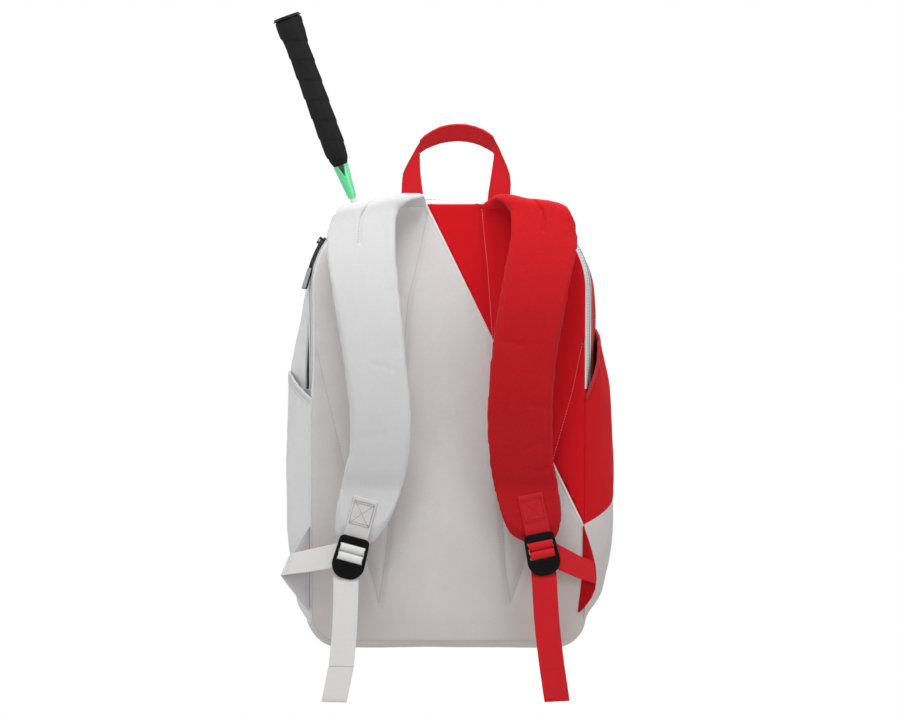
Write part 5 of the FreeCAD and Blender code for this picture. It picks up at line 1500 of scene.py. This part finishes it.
PATCHES = {
    "left": webbing("patch_pale", dye(216, 215, 213), dye(197, 196, 194)),
    "right": webbing("patch_red", dye(206, 26, 36), dye(178, 16, 26)),
}
patch_thread = thread_finish("patch_thread", dye(140, 139, 137))
window_pale = webbing("window_pale", dye(232, 232, 230), dye(216, 216, 214))
for word, (side, middle, lean, finish, slot) in LOCKS.items():
    turn = math.radians(lean)
    width = (math.cos(turn), 0, -math.sin(turn))
    # the patch: its top edge is folded under, so it is a second layer thick there
    layers = enumerate((15.2, 20, 26, 32, 36, 42, 48, 54, 60, 63.6))
    line = [on_lock(word, 0, -32.1 + 0.02 * k, w) for k, w in layers]
    line += [on_lock(word, 0, y, w) for y, w in ((-31.9, 64.7), (-31.3, 65.3), (-30.6, 64.4))]
    patch = flat_web("strap_patch_" + word, line, width, 27, 1.7, PATCHES[word], "strap_" + word)
    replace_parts(patch, "strap_web_" + word)
    box = [(-11, 36), (11, 36), (11, 61.5), (-11, 61.5), (-11, 36), (11, 61.5), (11, 36), (-11, 61.5)]
    settings = []
    for ends in pairs_of([on_lock(word, u, -33.0, w) for u, w in box]):
        settings += stitched(ends, AWAY, pitch=2.7, length=2.1, width=0.5, lift=0.02)
    for w in (36, 38.2, 61.5, 59.3):
        ends = [on_lock(word, u, -33.0, w) for u in (-11.5, 11.5)]
        settings += stitched(ends, AWAY, pitch=1.25, length=1.1, width=0.6, lift=0.04)
    thread = patch_thread if side < 0 else dark_red_thread
    sew("patch_stitch_" + word, settings, thread, "strap_" + word)
    # the turn of webbing seen in the buckle's window, over its two bars
    bend = ((-1.2, 13.6), (-3.4, 13.5), (-4.35, 12.9), (-4.75, 11.8), (-4.85, 10.2), (-4.8, 8.6), (-4.3, 7.3),
            (-3.3, 6.6), (-0.9, 6.5), (-0.9, 3.8), (-3.3, 3.7), (-4.3, 3.0), (-4.8, 1.7), (-4.9, 0.2),
            (-4.8, -2.0), (-4.3, -3.2), (-3.2, -3.9), (-1.2, -4.1))
    line = [on_lock(word, 0, -34.8 + y, w) for y, w in bend]
    shown = window_pale if side < 0 else finish
    turned = flat_web("lock_web_" + word, line, width, 26.6, 1.3, shown, "lock_" + word)
    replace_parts(turned, "web_turn_" + word)

lock_plastic = moulded("lock_plastic", dye(7, 7, 8), 0.38, grain=700, bump=0.15, shine=0.07)
dress(lock_plastic, "ladder_lock_left", "ladder_lock_right")

LOWER = {
    # upper and lower edge from wing to buckle: how far along, across, up
    "left": (((0, -174.1, 97.8), (0.09, -168.2, 102.4), (0.75, -124.4, 112.3), (1, -108, 116.0)),
             ((0, -182.6, 77.5), (0.2, -168, 79.6), (0.42, -152, 81.5), (0.77, -127.6, 86.1),
              (1, -112, 89.0))),
    "right": (((0, 154.8, 93.3), (0.32, 141, 98.5), (0.92, 114.9, 112.9), (1, 111.5, 114.8)),
              ((0, 157.4, 68.4), (0.46, 137.1, 75.6), (0.93, 116.2, 84.8), (1, 113, 86.3))),
}
for word, edges in LOWER.items():
    side, finish, slot = (LOCKS[word][index] for index in (0, 3, 4))
    line, widths = [], []
    for share in even(0, 1, 26):
        y = -3.9 - 29.6 * share - 1.8 * math.sin(math.pi * share) + 0.7 * math.sin(2 * math.pi * share)
        ends = []
        for edge in edges:
            x, z = (between(share, [(row[0], row[column]) for row in edge]) for column in (1, 2))
            ends.append(Vector((x, y, z)))
        line.append(tuple(0.5 * (ends[0] + ends[1])))
        widths.append(ends[0] - ends[1])
    piece = flat_web("lower_web_" + word, line, widths.__getitem__, 1, 1.6, finish, None, square=False)
    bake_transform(piece)
    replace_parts(piece, "lower_webbing_" + word)
    # two rows of stitches along its slanting end, into the wing
    settings = []
    for index in (1, 2):
        middle, half = Vector(line[index]) + Vector((0, -0.8, 0)), widths[index] * 0.44
        ends = [middle - half, middle + half]
        settings += stitched(ends, AWAY, pitch=2.3, length=1.8, width=0.5, lift=0.03)
    sew("lower_stitch_" + word, settings, THREADS[side])

TAILS = {
    # top, hem, end, the fall of its cut ends from left to right
    "left": ((-112, 71.5), (-117, -19.3), (-124.5, -57.2), -0.02),
    "right": ((101.5, 75), (110, -21.6), (115, -56.4), 0.05),
}
for word, (top, hem, end, fall) in TAILS.items():
    side, finish, slot = (LOCKS[word][index] for index in (0, 3, 4))
    # it comes from behind the buckle's lower bar
    rise = (top[0] - hem[0]) / (top[1] - hem[1])
    behind = ((9, -33.6), (6.5, -33.9), (4, -34.9), (1.6, -36.1))
    line = [(top[0] + rise * up, y, top[1] + up) for up, y in behind]
    for (x1, z1), (x2, z2), count in ((top, hem, 26), (hem, end, 9)):
        for share in even(0, 1, count)[:-1]:
            x, z = x1 + (x2 - x1) * share, z1 + (z2 - z1) * share
            belly = 2.2 * math.sin(math.pi * (z - top[1]) / (hem[1] - top[1])) if z > hem[1] else 0
            line.append((x - side * belly * 0.6, -36.7 + 0.18 * math.sin(z / 23), z))
    for y, up in ((-36.7, 1.0), (-36.5, 0.35), (-35.9, 0), (-35.3, 0.35), (-35.1, 1.0)):
        line.append((end[0], y, end[1] + up))
    for share in even(0.1, 0.94, 8):
        line.append((end[0] + (hem[0] - end[0]) * share, -35.05, end[1] + (hem[1] - end[1]) * share + 1.0))
    across = Vector((27.0, 0, 27.0 * fall))
    tail = flat_web("tail_web_" + word, line, across, 1, 1.45, finish, "tail_" + word, square=False)
    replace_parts(tail, "webbing_tail_" + word)
    place = Vector((hem[0], -37.45, hem[1]))
    ends = [place - across * 0.46, place + across * 0.46]
    settings = stitched(ends, AWAY, pitch=2.1, length=2.2, width=0.9, lift=0.02)
    sew("tail_stitch_" + word, settings, THREADS[side], "tail_" + word)

# Sliders and pulls: cast zinc sliders in dark plate, a braided cord through each eye, and a soft
# grey rubber tab moulded on the cord's end.

dress(moulded("dark_metal", dye(54, 54, 57), 0.34, grain=300, bump=0.10, metal=0.75),
      "main_slider_left", "main_slider_right", "pocket_slider")
braid = woven("pull_braid", dye(62, 62, 64), dye(28, 28, 30), thread=0.0005, bump=0.5,
              on=(math.pi / 2, 0, 0.785))
dress(braid, "pull_cord_right", "pull_cord_pocket")
rubber = moulded("pull_rubber", dye(152, 153, 155), 0.62, grain=900, bump=0.2, shine=0.3)
dress(rubber, "pull_tab_right", "pull_tab_pocket")
# the left pull hangs twisted: its doubled cord shows its width, and its tab one face and one side
twisted = [(-138.8, 29, 440), (-141.4, 28, 434), (-144.4, 27.4, 428), (-147.2, 27, 421.6),
           (-149.6, 26.6, 415.4), (-151.4, 26.4, 408.8)]
leader = flat_web("pull_leader_left", twisted, (1, 0, 0.3), 3.8, 2.0, braid, "pull_left")
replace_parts(leader, "pull_cord_left")
TAB_RING = ((-1, -0.8), (-0.9, -1), (-0.3, -1.06), (0.3, -1.06), (0.9, -1), (1, -0.8), (1, 0), (1, 0.8),
            (0.9, 1), (0, 1.04), (-0.9, 1), (-1, 0.8), (-1, 0))
tab_rows = []
for share, grow in (
    # how far down the tab, and how wide it is there
    (0, 0.6), (0.04, 0.9), (0.1, 1), (0.3, 1), (0.5, 1.05), (0.7, 1.1), (0.88, 1.15), (0.96, 1.05), (1, 0.8)
):
    heart = Vector((-151.2, 26.2, 409.8)) + Vector((-6.6, -1.2, -22.8)) * share
    twist = math.radians(-30 - 8 * share)
    row = []
    for a, b in TAB_RING:
        a, b = a * 2.7 * grow, b * 1.7 * grow
        u, v = a * math.cos(twist) - b * math.sin(twist), a * math.sin(twist) + b * math.cos(twist)
        row.append((heart.x + u * 0.95, heart.y + v, heart.z - u * 0.1))
    tab_rows.append(row + [row[0]])
tab = panel("pull_tab_left_twisted", tab_rows, rubber, 0, None, middle=(-151, 30.4, 398))
close_ends(tab)
# painted shade: the tab's faces turned towards +x get near-black rubber, for the shade on that side of the
# grey tab
tab_side_painted_shade = moulded("tab_side_painted_shade", dye(26, 26, 28), 0.6, grain=900, bump=0.2, shine=0.2)
tab.data.materials.append(tab_side_painted_shade)
for face in tab.data.polygons:
    face.material_index = 1 if face.normal.x > 0.45 else 0
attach(tab, "pull_left")
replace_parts(tab, "pull_tab_left")

# The racket: a lacquered carbon frame and shaft, nylon strings, a moulded cone, and a wooden
# handle with eight sides under a wound grip, whose turns overlap.

lacquer = moulded("racket_lacquer", dye(92, 240, 150), 0.24, grain=60, bump=0.02, coat=0.7)
dress(lacquer, "racket_frame", "racket_throat")
shaft_lacquer = moulded("shaft_lacquer", dye(214, 222, 220), 0.26, grain=60, bump=0.02, coat=0.6)
dress(shaft_lacquer, "racket_shaft")
butt_rubber = moulded("butt_rubber", dye(12, 12, 13), 0.5, grain=700, bump=0.2, shine=0.1)
dress(butt_rubber, "racket_butt_cap")
RACKET_FOOT = Vector((53.8, ZIP_LINE, 48.3))
lean = math.radians(20)
RACKET_UP = Vector((-math.sin(lean), 0, math.cos(lean)))
RACKET_SIDE = Vector((math.cos(lean), 0, math.sin(lean)))


def on_racket(u, y, t):
    """A point on the racket: across, out of its plane, and up from the tip of the head."""
    return RACKET_FOOT + RACKET_UP * t + RACKET_SIDE * u + Vector((0, y, 0))


# a plain dark wedge at the cone's upper end, narrowing down its harness side
cone_lacquer = moulded("cone_lacquer", dye(88, 216, 144), 0.3, grain=60, bump=0.02, coat=0.6)
tree = cone_lacquer.node_tree
parts = add(tree, "SeparateXYZ", {0: add(tree, "TexCoord").outputs["Object"]}).outputs
top_spot = spot(*on_racket(0.3, 0, 503))


def along(way):
    """How far the shaded point is from the cone's upper end, in one direction."""
    x = step(tree, "MULTIPLY", step(tree, "SUBTRACT", parts["X"], top_spot.x), way.x)
    z = step(tree, "MULTIPLY", step(tree, "SUBTRACT", parts["Z"], top_spot.z), way.z)
    return step(tree, "ADD", x, z)


half_wedge = step(tree, "ADD", step(tree, "MULTIPLY", along(RACKET_UP), 0.31), 0.0040)
beside = step(tree, "ABSOLUTE", along(RACKET_SIDE), 0.0)
wedge = step(tree, "GREATER_THAN", step(tree, "SUBTRACT", half_wedge, beside), 0.0)
facing = step(tree, "LESS_THAN", parts["Y"], (ZIP_LINE - FORWARD) / 1000)
colour = tree.nodes["Principled BSDF"].inputs["Base Color"]
green = colour.links[0].from_socket
inked = tones(tree, step(tree, "MULTIPLY", wedge, facing), green, dye(22, 30, 36))
tree.links.new(inked, colour)
dress(cone_lacquer, "racket_cone")

# the string bed: mains and crosses woven over and under each other
HEAD = 125
half_long, half_wide = HEAD - 5.5, 100 - 5.5
STRING, STRING_SIDES = 0.36, 5
string_points, string_faces = [], []


def string_run(first, second, ripple, phase):
    """One string between two places in the head, as a thin rod with flat sides."""
    start = Vector((first[0], 0, first[1]))
    run = Vector((second[0], 0, second[1])) - start
    count = max(int(run.length / 5.2), 4)
    ahead = run.normalized()
    side = Vector((ahead.z, 0, -ahead.x))
    base = len(string_points)
    for k in range(count + 1):
        share = k / count
        u, t = (start + run * share).x, (start + run * share).z
        lift = ripple * math.sin((run.length * share + phase) / 10.4 * math.pi)
        for turn in range(STRING_SIDES):
            angle = 2 * math.pi * turn / STRING_SIDES
            off = side * (STRING * math.cos(angle))
            place = on_racket(u + off.x, lift + STRING * math.sin(angle), HEAD + t + off.z)
            string_points.append(spot(*place))
    for k in range(count):
        for turn in range(STRING_SIDES):
            a, b = (base + k * STRING_SIDES + index % STRING_SIDES for index in (turn, turn + 1))
            string_faces.append((a, b, b + STRING_SIDES, a + STRING_SIDES))
    last = base + count * STRING_SIDES
    string_faces.append(tuple(base + turn for turn in reversed(range(STRING_SIDES))))
    string_faces.append(tuple(last + turn for turn in range(STRING_SIDES)))


for k in range(-9, 10):
    u = k * 10.0
    reach = half_long * math.sqrt(max(1 - (u / half_wide) ** 2, 0))
    if reach > 20:
        string_run((u, -reach), (u, reach), 0.3, 5.2 * (k % 2) * 2)
for k in range(-11, 12):
    t = k * 10.2
    reach = half_wide * math.sqrt(max(1 - (t / half_long) ** 2, 0))
    if reach > 20:
        string_run((-reach, t), (reach, t), -0.3, 5.2 * (k % 2) * 2)
nylon = moulded("nylon_string", dye(232, 232, 226), 0.3, grain=200, bump=0.05)
string_bed = meshed("string_bed", string_points, string_faces, nylon)
rework(string_bed, ("normals_make_consistent", {"inside": False}))
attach(string_bed, "racket")
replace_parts(string_bed, "racket_strings")

# the grip: eight flats under a spiral of soft tape whose edge stands up at each turn
grip_rows = []
GRIP = ((503, 8.5), (505, 9.6), (510, 11.3), (520, 12.9), (530, 13.4), (640, 13.5), (648, 14.4), (655, 15.6),
        (662, 16), (670, 16), (671.5, 15.2), (672, 14))
for t in even(503, 530, 18)[:-1] + even(530, 650, 96)[:-1] + even(650, 672, 18):
    row = []
    for turn in range(65):
        angle = 2 * math.pi * turn / 64
        flat = math.pi / 8
        corner = ((angle + flat) % (2 * flat)) - flat
        eight = 0.955 * math.cos(flat) / math.cos(corner) * 1.045
        wound = ((t - 503) / 23 + turn / 64) % 1.0
        lip = 0.9 * (1 - wound) * ease(wound / 0.07)
        core = between(t, GRIP) - 0.75
        soften = ease((t - 503) / 8) * ease((672 - t) / 2)
        radius = core * (eight * 0.75 + 0.25) + lip * soften
        row.append(tuple(on_racket(radius * math.cos(angle), radius * math.sin(angle), t)))
    grip_rows.append(row)
grip_wrap = moulded("grip_wrap", dye(14, 14, 15), 0.66, grain=1500, bump=0.4, shine=0.15)
grip = panel("grip_wrap", grip_rows, grip_wrap, 0, None, middle=tuple(on_racket(0, 0, 590)))
close_ends(grip)
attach(grip, "racket")
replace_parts(grip, "racket_grip")
